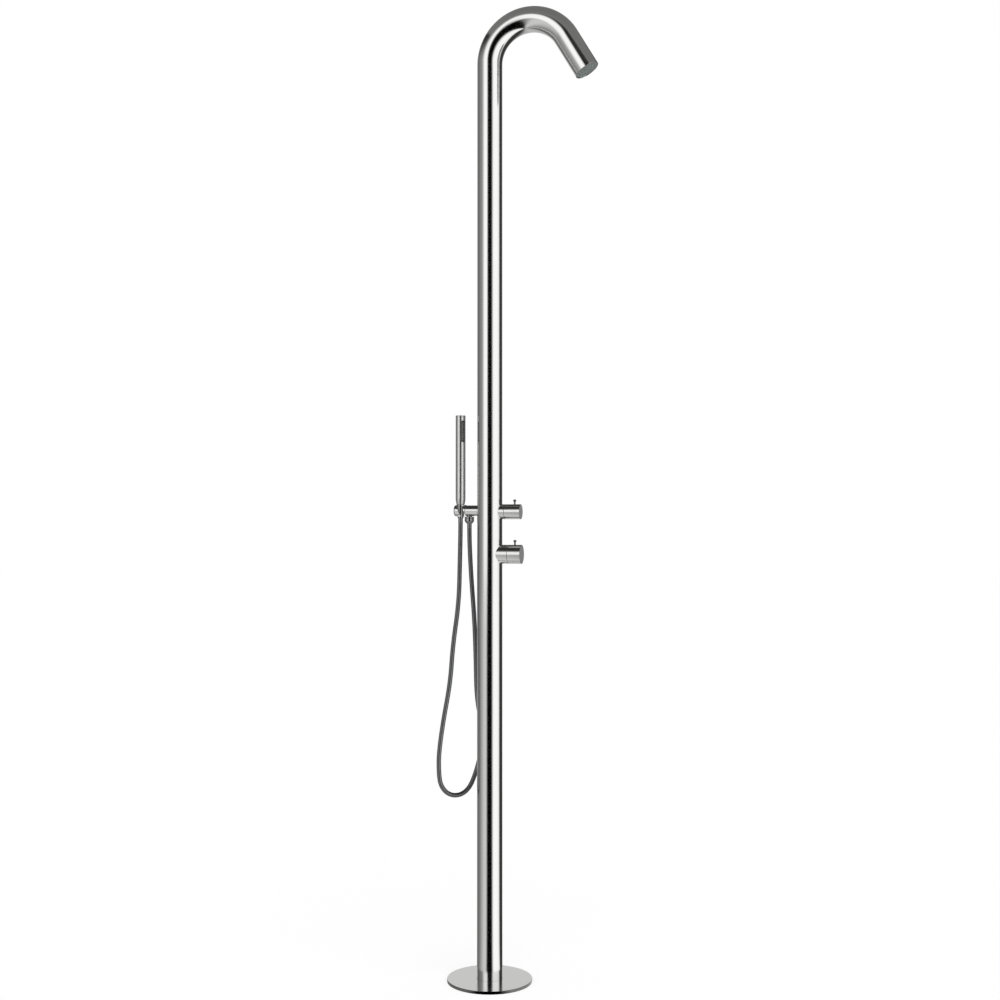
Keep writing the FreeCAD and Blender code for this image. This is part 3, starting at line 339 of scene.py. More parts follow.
def new_piece(name, points, faces, grain):
    """A mesh object from arrays of points and faces: doubled points merged, edges sharp past an angle."""
    mesh = bpy.data.meshes.new(name)
    mesh.vertices.add(len(points))
    mesh.vertices.foreach_set("co", points.astype(np.float32).ravel())
    mesh.loops.add(faces.size)
    mesh.loops.foreach_set("vertex_index", faces.astype(np.int32).ravel())
    mesh.polygons.add(len(faces))
    mesh.polygons.foreach_set("loop_start", np.arange(0, faces.size, faces.shape[1], dtype=np.int32))
    mesh.update(calc_edges=True)
    attribute = mesh.attributes.new("grain", "FLOAT_VECTOR", "POINT")
    attribute.data.foreach_set("vector", grain.astype(np.float32).ravel())
    rework(mesh, lambda work: bmesh.ops.remove_doubles(work, verts=work.verts, dist=1e-7))
    mesh.validate()
    finish_shading(mesh)
    piece = bpy.data.objects.new(name, mesh)
    bpy.context.scene.collection.objects.link(piece)
    return piece


def finish_shading(mesh, smooth_angle=30):
    """Smooth faces, with edges sharp where they turn by more than the angle in degrees."""
    mesh.polygons.foreach_set("use_smooth", np.ones(len(mesh.polygons), bool))
    mesh.set_sharp_from_angle(angle=math.radians(smooth_angle))
    mesh.update()


def turn_faces(piece, upwards=False):
    """Turns all faces of a closed piece outwards, or of a flat one upwards."""

    def turn(work):
        if upwards:
            bmesh.ops.reverse_faces(work, faces=[face for face in work.faces if face.normal.z < 0])
        else:
            bmesh.ops.recalc_face_normals(work, faces=work.faces)

    rework(piece.data, turn)


def surface_piece(name, grids, closed_rows=False):
    """A piece from one or more grids of points, each closed around its columns.

    Its grain attribute holds (distance around, distance along, 0) for lines that follow the turning.
    """
    grids = grids if isinstance(grids, list) else [grids]
    points, faces, grains = [], [], []
    offset = 0
    for grid in grids:
        rows, columns = grid.shape[:2]
        faces.append(grid_faces(rows, columns, closed_rows, offset))
        points.append(grid.reshape(-1, 3))
        steps = np.linalg.norm(np.diff(grid, axis=0), axis=2).mean(1)
        along = np.concatenate([[0], np.cumsum(steps)])[:, None] + np.zeros((1, columns))
        t = around(columns)[None, :] + np.zeros((rows, 1))
        grains.append(np.stack([0.01 * np.cos(t), 0.01 * np.sin(t), along], -1).reshape(-1, 3))
        offset += rows * columns
    return new_piece(name, np.concatenate(points), np.concatenate(faces), np.concatenate(grains))


def turned_piece(name, corners, line, sides=96, closed=False, steps=4):
    """A turned piece from its profile's corners (along, radius, rounding)."""
    along, radius = rounded(corners, steps, closed)
    return surface_piece(name, turned(along, radius, line, sides), closed)


def cut_away(piece, cutters):
    """Takes the cutters' solids out of a piece for good."""
    for cutter in cutters:
        modifier = piece.modifiers.new("cut", "BOOLEAN")
        modifier.operation = "DIFFERENCE"
        modifier.solver = "EXACT"
        modifier.object = cutter
    evaluated = piece.evaluated_get(bpy.context.evaluated_depsgraph_get())
    mesh = bpy.data.meshes.new_from_object(evaluated)
    piece.modifiers.clear()
    piece.data = mesh
    finish_shading(mesh)
    for cutter in cutters:
        bpy.data.objects.remove(cutter)


def in_normals(spots, line):
    """Points as parts of a carrying line's two normals."""
    first, second = line(np.array([0.0]))[1:]
    return np.stack([spots @ first[0], spots @ second[0]], -1)


def prism(name, outline, line, low, high):
    """A straight-sided solid: an outline in a line's two normals carried from low to high, ends closed."""
    outline = np.array(outline, float)
    centre = outline.mean(0)
    ends = np.array([low, low, high, high])
    scale = np.array([0.0, 1.0, 1.0, 0.0])
    centres, first, second = line(ends)
    place = centre + (outline[None] - centre) * scale[:, None, None]
    points = centres[:, None] + place[..., :1] * first[:, None] + place[..., 1:] * second[:, None]
    return surface_piece(name, points)


def dress(piece, body, material, *nodes, slot=None):
    """Gives a piece its material and its body, and hides the nodes it stands for."""
    piece.data.materials.clear()
    piece.data.materials.append(material)
    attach(piece, body)
    if nodes:
        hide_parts(*nodes)


# ---- Materials ----


class Signal:
    """One output of a node tree, with the signs of plain maths."""

    def __init__(self, shading, socket):
        self.shading = shading
        self.socket = socket

    def maths(self, operation, first, second):
        return self.shading.add("Math", {"operation": operation}, {0: first, 1: second})

    def __add__(self, other):
        return self.maths("ADD", self, other)

    def __radd__(self, other):
        return self.maths("ADD", other, self)

    def __sub__(self, other):
        return self.maths("SUBTRACT", self, other)

    def __rsub__(self, other):
        return self.maths("SUBTRACT", other, self)

    def __mul__(self, other):
        return self.maths("MULTIPLY", self, other)

    def __rmul__(self, other):
        return self.maths("MULTIPLY", other, self)

    def __truediv__(self, other):
        return self.maths("DIVIDE", self, other)

    def __rtruediv__(self, other):
        return self.maths("DIVIDE", other, self)


class Shading:
    """The node tree of a material or of the world."""

    def __init__(self, tree):
        self.tree = tree
        tree.nodes.clear()

    def add(self, kind, settings=None, inputs=None, output=0):
        """Adds a node: its settings or stops first, then its sockets' values or links. Gives one output."""
        node = self.tree.nodes.new(f"ShaderNode{kind}")
        for name, value in (settings or {}).items():
            if name == "stops":
                self.set_stops(node.color_ramp, value)
            else:
                setattr(node, name, value)
        for key, value in (inputs or {}).items():
            if isinstance(value, Signal):
                self.tree.links.new(value.socket, node.inputs[key])
            else:
                node.inputs[key].default_value = value
        return Signal(self, node.outputs[output]) if len(node.outputs) else node

    def set_stops(self, ramp, stops):
        """Fills a ramp with stops of place and grey level."""
        while len(ramp.elements) < len(stops):
            ramp.elements.new(0.5)
        for element, (place, level) in zip(ramp.elements, stops):
            element.position = place
            element.color = (level, level, level, 1)

    def place(self, grain=False, scale=(1, 1, 1)):
        """Coordinates of a pattern, from the grain attribute or the Object coordinates, times a scale."""
        if grain:
            source = self.add("Attribute", {"attribute_name": "grain"}, None, "Vector")
        else:
            source = self.add("TexCoord", None, None, "Object")
        return self.add("Mapping", None, {"Vector": source, "Scale": scale})

    def parts(self, place, count):
        """The first parts of a vector, along X, Y and Z."""
        return [self.add("SeparateXYZ", None, {0: place}, axis) for axis in range(count)]

    def distance(self, x, y):
        """Distance from the Z axis: the root of x^2 + y^2."""
        return self.add("Math", {"operation": "SQRT"}, {0: x * x + y * y})

    def noise(self, place, scale, detail, roughness):
        """Even noise with a number of cells in a unit of place."""
        sockets = {"Vector": place, "Scale": scale, "Detail": detail, "Roughness": roughness}
        return self.add("TexNoise", None, sockets)

    def ray(self, kind):
        """1 for the rays of a kind, 0 for all others."""
        return self.add("LightPath", None, None, f"Is {kind} Ray")

    def smooth(self, value, low, high):
        """0 below low, 1 above high and 3 t^2 - 2 t^3 between them."""
        return self.add("MapRange", {"interpolation_type": "SMOOTHSTEP"}, {0: value, 1: low, 2: high})

    def mix(self, share, first, second):
        """Mix of two colours by a share."""
        return self.add("Mix", {"data_type": "RGBA"}, {0: share, 6: first, 7: second}, 2)

    def shades(self, share, tint, dark, light):
        """Mix of a darker and a lighter shade of a tint by a share."""
        low, high = ((*(min(1.0, level * part) for part in tint), 1) for level in (dark, light))
        return self.mix(share, low, high)

    def surface(self, shader):
        """Joins a shader to the material's output."""
        self.add("OutputMaterial", None, {"Surface": shader})

    def finish(self, tone, gloss, relief, amount, depth, metallic=1.0):
        """A surface of a tone and a gloss, with an amount of relief as deep as depth in metres."""
        bump = self.add("Bump", None, {"Strength": amount, "Distance": depth, "Height": relief})
        sockets = {"Base Color": tone, "Metallic": metallic, "Roughness": gloss, "Normal": bump}
        self.surface(self.add("BsdfPrincipled", None, sockets))


def new_shading(name):
    """A new material and its empty node tree."""
    material = bpy.data.materials.new(name)
    material.use_nodes = True
    return material, Shading(material.node_tree)


def steel(name, tint, fine, roughness, lines, spread=0.06, grain=True, along=2, rim=0):
    """Satin stainless steel: fine lines across the grain direction, with faint clouds in colour and gloss.

    fine is the number of noise cells per metre along the grain axis, and lines is how deep they are.
    rim is the radius about the post's axis from which the tone is painted dark: a painted dark reflection
    along a sheet's outer edge.
    """
    material, shading = new_shading(name)
    scale = [60.0, 60.0, 60.0]
    scale[along] = fine
    streaks = shading.noise(shading.place(grain, scale), 1.0, 3.0, 0.6)
    place = shading.place()
    clouds = shading.noise(place, 14.0, 4.0, 0.55)
    specks = shading.noise(place, 260.0, 2.0, 0.5)
    tone = shading.shades(streaks * 0.6 + clouds * 0.4, tint, 0.93, 1.04)
    # Painted dark reflection: outside the rim radius the tone falls to a fifth of the tint.
    if rim:
        edge = shading.smooth(shading.distance(*shading.parts(place, 2)), rim - 0.0003, rim)
        tone = shading.mix(edge, tone, (*(0.2 * part for part in tint), 1))
    gloss = roughness + (streaks - 0.5) * (spread * 0.8)
    gloss = gloss + (clouds - 0.5) * spread + (specks - 0.5) * (spread * 0.4)
    shading.finish(tone, gloss, streaks, lines, 0.00002)
    return material


def plastic(name, tint, roughness):
    """Moulded plastic or rubber: a fine even grit in gloss and relief, with faint clouds in colour."""
    material, shading = new_shading(name)
    place = shading.place()
    grit = shading.noise(place, 900.0, 3.0, 0.6)
    clouds = shading.noise(place, 40.0, 3.0, 0.5)
    tone = shading.shades(clouds * 0.7 + grit * 0.3, tint, 0.85, 1.12)
    gloss = roughness + (grit - 0.5) * 0.12 + (clouds - 0.5) * 0.08
    shading.finish(tone, gloss, grit, 0.2, 0.00005, metallic=0.0)
    return material


def cast_metal(name, tint, roughness=0.35):
    """Machined brass, copper or plain steel of a hidden fitting: clouds of tarnish over fine tool marks."""
    material, shading = new_shading(name)
    place = shading.place()
    tarnish = shading.noise(place, 60.0, 5.0, 0.6)
    marks = shading.noise(place, 1500.0, 2.0, 0.5)
    tone = shading.shades(tarnish, tint, 0.72, 1.08)
    shading.finish(tone, roughness + (tarnish - 0.5) * 0.2, marks, 0.2, 0.00003)
    return material


def hose_material(name, tint):
    """Dark steel spiral with painted shade in the groove between two turns, where the ridge attribute is
    low.
    """
    material, shading = new_shading(name)
    ridge = shading.add("Attribute", {"attribute_name": "ridge"}, None, "Fac")
    clouds = shading.noise(shading.place(), 90.0, 4.0, 0.6)
    # Painted shade: the tone darkens towards a quarter of the tint in the grooves.
    tone = shading.shades(ridge * 0.8 + clouds * 0.2, tint, 0.25, 1.1)
    shading.finish(tone, 0.42 - ridge * 0.12 + (clouds - 0.5) * 0.15, clouds, 0.15, 0.00004)
    return material


# ---- Pieces ----


def post_line(sizes):
    """The post's carrying line and its length to the neck's end."""
    end = sizes.bend_start + sizes.bend_radius * sizes.bend_angle + sizes.neck
    return bent_line(sizes.bend_start, sizes.bend_radius, sizes.bend_angle), end


class SHOWER_OT_post(Operator):
    """Makes the bent steel tube"""

    bl_idname = "shower.post"
    bl_label = "Post tube"

    def execute(self, context):
        sizes = context.scene.post_sizes
        line, end = post_line(sizes)
        outer = sizes.diameter / 2
        inner = outer - sizes.wall
        bend_end = end - sizes.neck
        low = sizes.foot
        edge = 0.0004
        straight_part = np.linspace(low + 0.01, sizes.bend_start, 24)
        bend_part = np.linspace(sizes.bend_start, bend_end, 120)[1:]
        neck_part = np.linspace(bend_end, end - 0.01, 8)[1:]
        middle = np.concatenate([straight_part, bend_part, neck_part])
        lip = 0.009
        foot = [(low + lip, inner, 0), (low, inner, edge), (low, outer, edge), (low + lip, outer, 0)]
        foot_a, foot_r = rounded(foot)
        rim = [(end - lip, outer, 0), (end, outer, edge), (end, inner, edge), (end - lip, inner, 0)]
        rim_a, rim_r = rounded(rim, 6)
        middle = middle[:, None]
        along = np.concatenate([foot_a, middle, rim_a, middle[::-1]])
        radius = np.concatenate([foot_r, 0 * middle + outer, rim_r, 0 * middle + inner])
        piece = surface_piece("post_skin", turned(along, radius, line, sizes.sides), True)
        finish = steel("post_steel_satin", context.scene.finishes.steel, 5000.0, 0.135, 0.12, spread=0.05)
        dress(piece, "post", finish, "post_tube", slot="post_steel")
        return {"FINISHED"}


class SHOWER_OT_spray(Operator):
    """Makes the spray face in the neck's end, with its nozzles"""

    bl_idname = "shower.spray"
    bl_label = "Spray outlet"

    def execute(self, context):
        sizes = context.scene.post_sizes
        finishes = context.scene.finishes
        line, end = post_line(sizes)
        bore = sizes.diameter / 2 - sizes.wall - ROOM
        face = end - sizes.insert_recess
        back = face - sizes.insert_thickness
        rim = 0.003
        step = 0.0005
        corners = [
            (back, 0, 0),
            (back, bore, 0.0003),
            (face, bore, 0.0006),
            (face, bore - rim, 0.0004),
            (face - step, bore - rim - 0.0004, 0.0003),
            (face - step, 0, 0),
        ]
        disc = turned_piece("spray_face", corners, line, 128)
        finish = plastic("spray_face_plastic", finishes.spray, 0.42)
        dress(disc, "post", finish, "spray_insert", slot="insert_plastic")

        rings = np.arange(1, 4)
        angles = [np.arange(6 * ring) * 2 * np.pi / (6 * ring) for ring in rings]
        reach = np.concatenate([[0.0]] + [0 * a + sizes.nozzle_spacing * r for a, r in zip(angles, rings)])
        turn = np.concatenate([[0.0]] + angles)
        centre, outward, across = (value[0] for value in line(np.array([face])))
        down = np.cross(outward, across)
        bases = centre + reach[:, None] * (np.cos(turn)[:, None] * outward + np.sin(turn)[:, None] * across)
        small = sizes.nozzle_diameter / 2
        root, tip, hole = -0.0040, 0.0003, -0.0004
        profile = [
            (root, 0, 0),
            (root, small, 0.0002),
            (tip, small * 0.86, 0.0003),
            (tip, small * 0.45, 0.0001),
            (hole, small * 0.36, 0.0001),
            (hole, 0, 0),
        ]
        along, radius = rounded(profile, 2)
        one = turned(along, radius, straight((0, 0, 0), down), 20)
        nozzles = surface_piece("spray_rubber", [one + base for base in bases])
        finish = plastic("nozzle_rubber_dark", finishes.nozzle, 0.5)
        dress(nozzles, "post", finish, "spray_nozzles", slot="nozzle_rubber")
        return {"FINISHED"}


class SHOWER_OT_foot(Operator):
    """Makes the round cover at the foot"""

    bl_idname = "shower.foot"
    bl_label = "Foot cover"

    def execute(self, context):
        sizes = context.scene.post_sizes
        rim = sizes.cover_diameter / 2
        hole = sizes.diameter / 2 + 0.0003
        top = sizes.cover_height
        wall = sizes.cover_wall
        corners = [
            (top - wall, hole, 0.0002),
            (top - wall, rim - wall, 0.0004),
            (0, rim - wall, 0.0002),
            (0, rim, 0.0003),
            (top, rim, 0.0008),
            (top, hole, 0.0003),
        ]
        piece = turned_piece("foot_cover", corners, upright(0), 256, closed=True, steps=6)
        tint = context.scene.finishes.cover
        # The cover's outer edge gets a painted dark reflection through rim.
        finish = steel("cover_steel_brushed", tint, 4000.0, 0.15, 0.1, rim=rim - 0.0002)
        dress(piece, "post", finish, "base_cover", slot="cover_steel")
        return {"FINISHED"}


class SHOWER_OT_knobs(Operator):
    """Makes the two knobs with their collars and pins"""

    bl_idname = "shower.knobs"
    bl_label = "Knobs"

    def execute(self, context):
        sizes = context.scene.valve_sizes
        finishes = context.scene.finishes
        post = context.scene.post_sizes.diameter / 2 + ROOM
        finish = steel("knob_steel_turned", finishes.steel, 7000.0, 0.2, 0.25)
        dark = steel("pin_steel_dark", finishes.pin, 7000.0, 0.3, 0.2)
        for valve, wall, collar_wall, barrel, spindle, hub, hub_start in (
            ("mixer", 0.0025, 0.0015, 0.0153, 0.004, 0.008, 0.0477),
            ("diverter", 0.0022, 0.0013, 0.0108, 0.0035, 0.007, 0.0442),
        ):
            height = getattr(sizes, f"{valve}_height")
            radius = getattr(sizes, f"{valve}_diameter") / 2
            collar_end = getattr(sizes, f"{valve}_collar_end")
            end = getattr(sizes, f"{valve}_end")
            pin_x = getattr(sizes, f"{valve}_pin")
            line = straight((0, 0, height), (1, 0, 0))
            grid = self.collar(line, radius, radius - collar_wall, barrel, collar_end, post)
            collar = surface_piece(f"{valve}_collar_skin", grid, True)
            dress(collar, "post", finish, f"{valve}_collar", slot="knob_steel")

            start = collar_end + 0.0006
            profile = self.knob_profile(radius, wall, start, end, spindle, hub, hub_start, sizes.edge)
            knob = turned_piece(f"{valve}_knob_skin", profile, line, 128)
            t = around(32)
            hole = 0.00205 * np.stack([np.cos(t), np.sin(t)], -1)
            downwards = straight((pin_x, 0, height), (0, 0, -1))
            cut_away(knob, [prism("screw_hole", hole, downwards, spindle * 0.5, radius * 1.2)])
            dress(knob, f"{valve}_handle", finish, f"{valve}_knob", slot="knob_steel")

            profile = self.pin_profile(radius - wall - 0.0003, radius + sizes.pin_height)
            pin = turned_piece(f"{valve}_pin_skin", profile, upright(pin_x, height), 48)
            dress(pin, f"{valve}_handle", dark, f"{valve}_pin", slot="knob_steel")
        return {"FINISHED"}

    def collar(self, line, radius, sleeve, barrel, end, post):
        """Collar whose inner end follows the post."""
        ring_back, ring_front, saddle_end = 0.0306, 0.0326, 0.034
        fixed_a, fixed_r = rounded(
            [
                (saddle_end, radius, 0),
                (end, radius, 0.0004),
                (end, sleeve, 0.0003),
                (ring_front, sleeve, 0.0002),
                (ring_front, barrel, 0.0002),
                (ring_back, barrel, 0.0002),
                (ring_back, sleeve, 0),
            ]
        )
        t = around(128)[None, :]
        blank = np.zeros_like(t)
        outer = saddle(post, radius, saddle_end, t)
        inner = saddle(post, sleeve, saddle_end, t)[:1]
        along = np.concatenate([outer, fixed_a + blank, inner])
        profile = np.concatenate([radius + 0 * outer, fixed_r + blank, sleeve + blank])
        return turned(along, profile, line, 128)

    def knob_profile(self, radius, wall, start, end, spindle, hub, hub_start, edge):
        """Round knob: a cup with a hub, and a slightly sunk turned face."""
        floor = end - 0.005
        inside = radius - wall
        return [
            (floor, 0, 0),
            (floor, spindle, 0.0002),
            (hub_start, spindle, 0.0002),
            (hub_start, hub, 0.0003),
            (floor, hub, 0.0003),
            (floor, inside, 0.0005),
            (start, inside, 0.0003),
            (start, radius, 0.0004),
            (end - edge * 0.2, radius, edge),
            (end, radius - edge * 1.6, edge * 0.6),
            (end, 0, 0),
        ]

    def pin_profile(self, foot, top):
        """Pin with a slightly wider, rounded head."""
        neck, broad = 0.0022, 0.0038
        head = top - 0.005
        return [
            (foot, 0, 0),
            (foot, neck, 0.0002),
            (head, neck, 0.0004),
            (head + 0.0017, broad, 0.0006),
            (top - 0.0012, broad, 0.0008),
            (top, neck, 0.0006),
            (top, 0, 0),
        ]


class SHOWER_OT_holder(Operator):
    """Makes the arm, its head with the slanted slot, and the liner of the seat"""

    bl_idname = "shower.holder"
    bl_label = "Holder"

    def execute(self, context):
        sizes = context.scene.holder_sizes
        finishes = context.scene.finishes
        height = sizes.arm_height
        finish = steel("holder_steel_turned", finishes.steel, 6000.0, 0.2, 0.2, grain=False, along=0)
        post = context.scene.post_sizes.diameter / 2 + ROOM
        radius = sizes.arm_diameter / 2
        head_start = sizes.reach - sizes.head_length / 2
        line = straight((0, 0, height), (-1, 0, 0))

        # The arm's inner end follows the post.
        t = around(96)[None, :]
        saddle_end = 0.036
        rows = saddle(post, radius, saddle_end, t)
        end_a, end_r = rounded([(saddle_end, radius, 0), (head_start, radius, 0.0004), (head_start, 0, 0)])
        blank = np.zeros_like(t)
        along = np.concatenate([rows[:1], rows, end_a + blank])
        profile = np.concatenate([blank, radius + 0 * rows, end_r + blank])
        arm = surface_piece("arm_skin", turned(along, profile, line, 96))
        dress(arm, "post", finish, "holder_arm", slot="holder_steel")

        head = sizes.head_diameter / 2
        half = sizes.head_length / 2
        corners = [
            (-half, 0, 0),
            (-half, head, 0.0010),
            (half - 0.004, head, 0.003),
            (half - 0.0012, head - 0.0012, 0.0012),
            (half, head - 0.004, 0.003),
            (half, 0, 0),
        ]
        seat_line = upright(-sizes.reach, height)
        head_line = straight((-sizes.reach, 0, height), (-1, 0, 0))
        piece = turned_piece("holder_head_skin", corners, head_line, 160, steps=6)
        slope = (SEAT_TOP - SEAT_FOOT) / 2 / sizes.head_diameter
        reach = head + 0.001
        middle = (SEAT_TOP + SEAT_FOOT) / 4
        wall = 0.001
        low = middle + wall + ROOM - slope * reach
        high = middle + wall + ROOM + slope * reach
        corners = [(-reach, 0, 0), (-reach, low, 0), (reach, high, 0), (reach, 0, 0)]
        cone = turned_piece("seat_cutter", corners, seat_line)
        cut_away(piece, [cone, self.slot_cutter(sizes, height)])
        dress(piece, "post", finish, "holder_head", slot="holder_steel")

        low, high = middle - slope * head, middle + slope * head
        corners = [
            (-head, low, 0.0002),
            (-head, low + wall, 0.0002),
            (head, high + wall, 0.0002),
            (head, high, 0.0003),
        ]
        liner = turned_piece("seat_liner_skin", corners, seat_line, closed=True)
        cut_away(liner, [self.slot_cutter(sizes, height)])
        finish = plastic("liner_plastic_pale", finishes.liner, 0.35)
        dress(liner, "post", finish, "seat_liner", slot="liner_plastic")
        return {"FINISHED"}

    def slot_cutter(self, sizes, height):
        """Slanted slot through the front wall, leaning 22 degrees."""
        lean = math.radians(22)
        half = 0.0125 / 2 / math.cos(lean)
        reach = sizes.head_diameter
        drift = math.tan(lean) * reach
        shift = 0.004 - sizes.reach
        line = straight((0, 0, 0), (0, -1, 0))
        spots = np.array(
            [
                (shift + drift - half, 0, height - reach),
                (shift + drift + half, 0, height - reach),
                (shift - drift + half, 0, height + reach),
                (shift - drift - half, 0, height + reach),
            ]
        )
        cutter = prism("slot_cutter", in_normals(spots, line), line, 0.0, reach)
        turn_faces(cutter)
        return cutter


class SHOWER_OT_hand_shower(Operator):
    """Makes the baton hand shower with its spray face"""

    bl_idname = "shower.hand_shower"
    bl_label = "Hand shower"

    def execute(self, context):
        sizes = context.scene.holder_sizes
        finishes = context.scene.finishes
        finish = steel("hand_steel_satin", finishes.hand, 5000.0, 0.3, 0.1, grain=False)
        line = upright(-sizes.reach)
        foot = sizes.hand_foot
        top = foot + sizes.hand_length
        radius = sizes.hand_diameter / 2
        cap = 0.003
        wall = 0.002
        thread = 0.006
        body = turned_piece(
            "hand_shower_skin",
            [
                (foot, thread, 0.0002),
                (foot, 0.0098, 0.0006),
                (foot + 0.011, radius, 0.004),
                (top - cap, radius, 0.0002),
                (top - cap, radius - wall, 0.0002),
                (foot + 0.016, radius - wall, 0.0002),
                (foot + 0.015, thread, 0.0002),
            ],
            line,
            128,
            closed=True,
        )
        direction = np.array((math.cos(sizes.face_turn), math.sin(sizes.face_turn), 0.0))
        face_line = straight((-sizes.reach, 0, 0), direction)
        face_top = top - 0.012
        middle = face_top - sizes.face_length / 2
        outline = self.oblong(sizes, face_line, middle, 0.0)
        cutter = prism("face_cutter", outline, face_line, 0.002, radius * 1.5)
        turn_faces(cutter)
        cut_away(body, [cutter])
        dress(body, "hand_shower", finish, "hand_shower_body", slot="hand_steel")

        lid = turned_piece(
            "hand_shower_cap_skin",
            [
                (top - cap * 2, 0, 0),
                (top - cap * 2, radius - wall - ROOM, 0.0002),
                (top - cap, radius - wall - ROOM, 0.0002),
                (top - cap, radius, 0.0002),
                (top - 0.0002, radius, 0.0008),
                (top, radius - 0.0009, 0.0008),
                (top, 0, 0),
            ],
            line,
            128,
        )
        dress(lid, "hand_shower", finish, "hand_shower_cap", slot="hand_steel")
        self.make_face(sizes, finishes, direction, face_line, middle, radius)
        return {"FINISHED"}

    def oblong(self, sizes, line, middle, inset):
        """Outline of the spray face in the line's normals: two half circles joined by straight sides."""
        half = sizes.face_width / 2 - inset
        run = (sizes.face_length - sizes.face_width) / 2
        t = around(64)
        across = half * np.cos(t)
        up = half * np.sin(t) + run * np.sign(np.sin(t) + 1e-9) + middle
        first, second = line(np.array([0.0]))[1:]
        side = np.cross(first[0], second[0])
        sideways = np.array((-side[1], side[0], 0.0))
        return in_normals(across[:, None] * sideways + up[:, None] * np.array((0.0, 0.0, 1.0)), line)

    def make_face(self, sizes, finishes, direction, line, middle, radius):
        """Spray face: rings of the stadium outline, drawn in towards the middle, raised by a low crown."""
        front = radius - 0.0003
        levels = np.array(
            [
                (front - 0.002, 1.0),
                (front - 0.002, 0.00005),
                (front - 0.0016, 0.00005),
                (front - 0.0009, 0.0003),
                (front - 0.0006, 0.0008),
                (front - 0.00045, 0.0012),
                (front - 0.0010, 0.0014),
                (front - 0.0009, 0.0018),
                (front - 0.0002, 0.0040),
                (front, 1.0),
            ]
        )
        centre, first, second = line(levels[:, 0])
        rings = []
        for row, inset in enumerate(levels[:, 1]):
            outline = self.oblong(sizes, line, middle, min(inset, sizes.face_width / 2 - 1e-5))
            rings.append(centre[row] + outline[:, :1] * first[0] + outline[:, 1:] * second[0])
        plate = surface_piece("hand_spray_face", np.array(rings))
        rework(plate.data, lambda work: bmesh.ops.holes_fill(work, edges=work.edges))
        turn_faces(plate)
        finish_shading(plate.data)
        finish = plastic("hand_face_plastic", finishes.hand_face, 0.3)
        dress(plate, "hand_shower", finish, "hand_spray_plate", slot="hand_plate")

        sideways = np.array((-direction[1], direction[0], 0.0))
        pitch = (sizes.face_length - sizes.face_width) / 8
        heights = middle + pitch * (np.arange(9) - 4)
        root, tip, hole = -0.0012, 0.0005, 0.0001
        profile = [
            (root, 0, 0),
            (root, 0.00085, 0.0001),
            (tip, 0.0007, 0.0002),
            (tip, 0.0003, 0.0001),
            (hole, 0.0002, 0),
            (hole, 0, 0),
        ]
        one = turned(*rounded(profile, 2), straight((0, 0, 0), direction), 16)
        centre = np.array((-sizes.reach, 0, 0)) + direction * (front - 0.00015)
        aside = sideways * 0.0026
        places = [centre + side * aside + np.array((0, 0, z)) for z in heights for side in (-1, 1)]
        nozzles = surface_piece("hand_spray_rubber", [one + place for place in places])
        finish = plastic("hand_nozzle_rubber_grey", finishes.hand_nozzle, 0.5)
        dress(nozzles, "hand_shower", finish, "hand_spray_nozzles", slot="hand_nozzle_rubber")


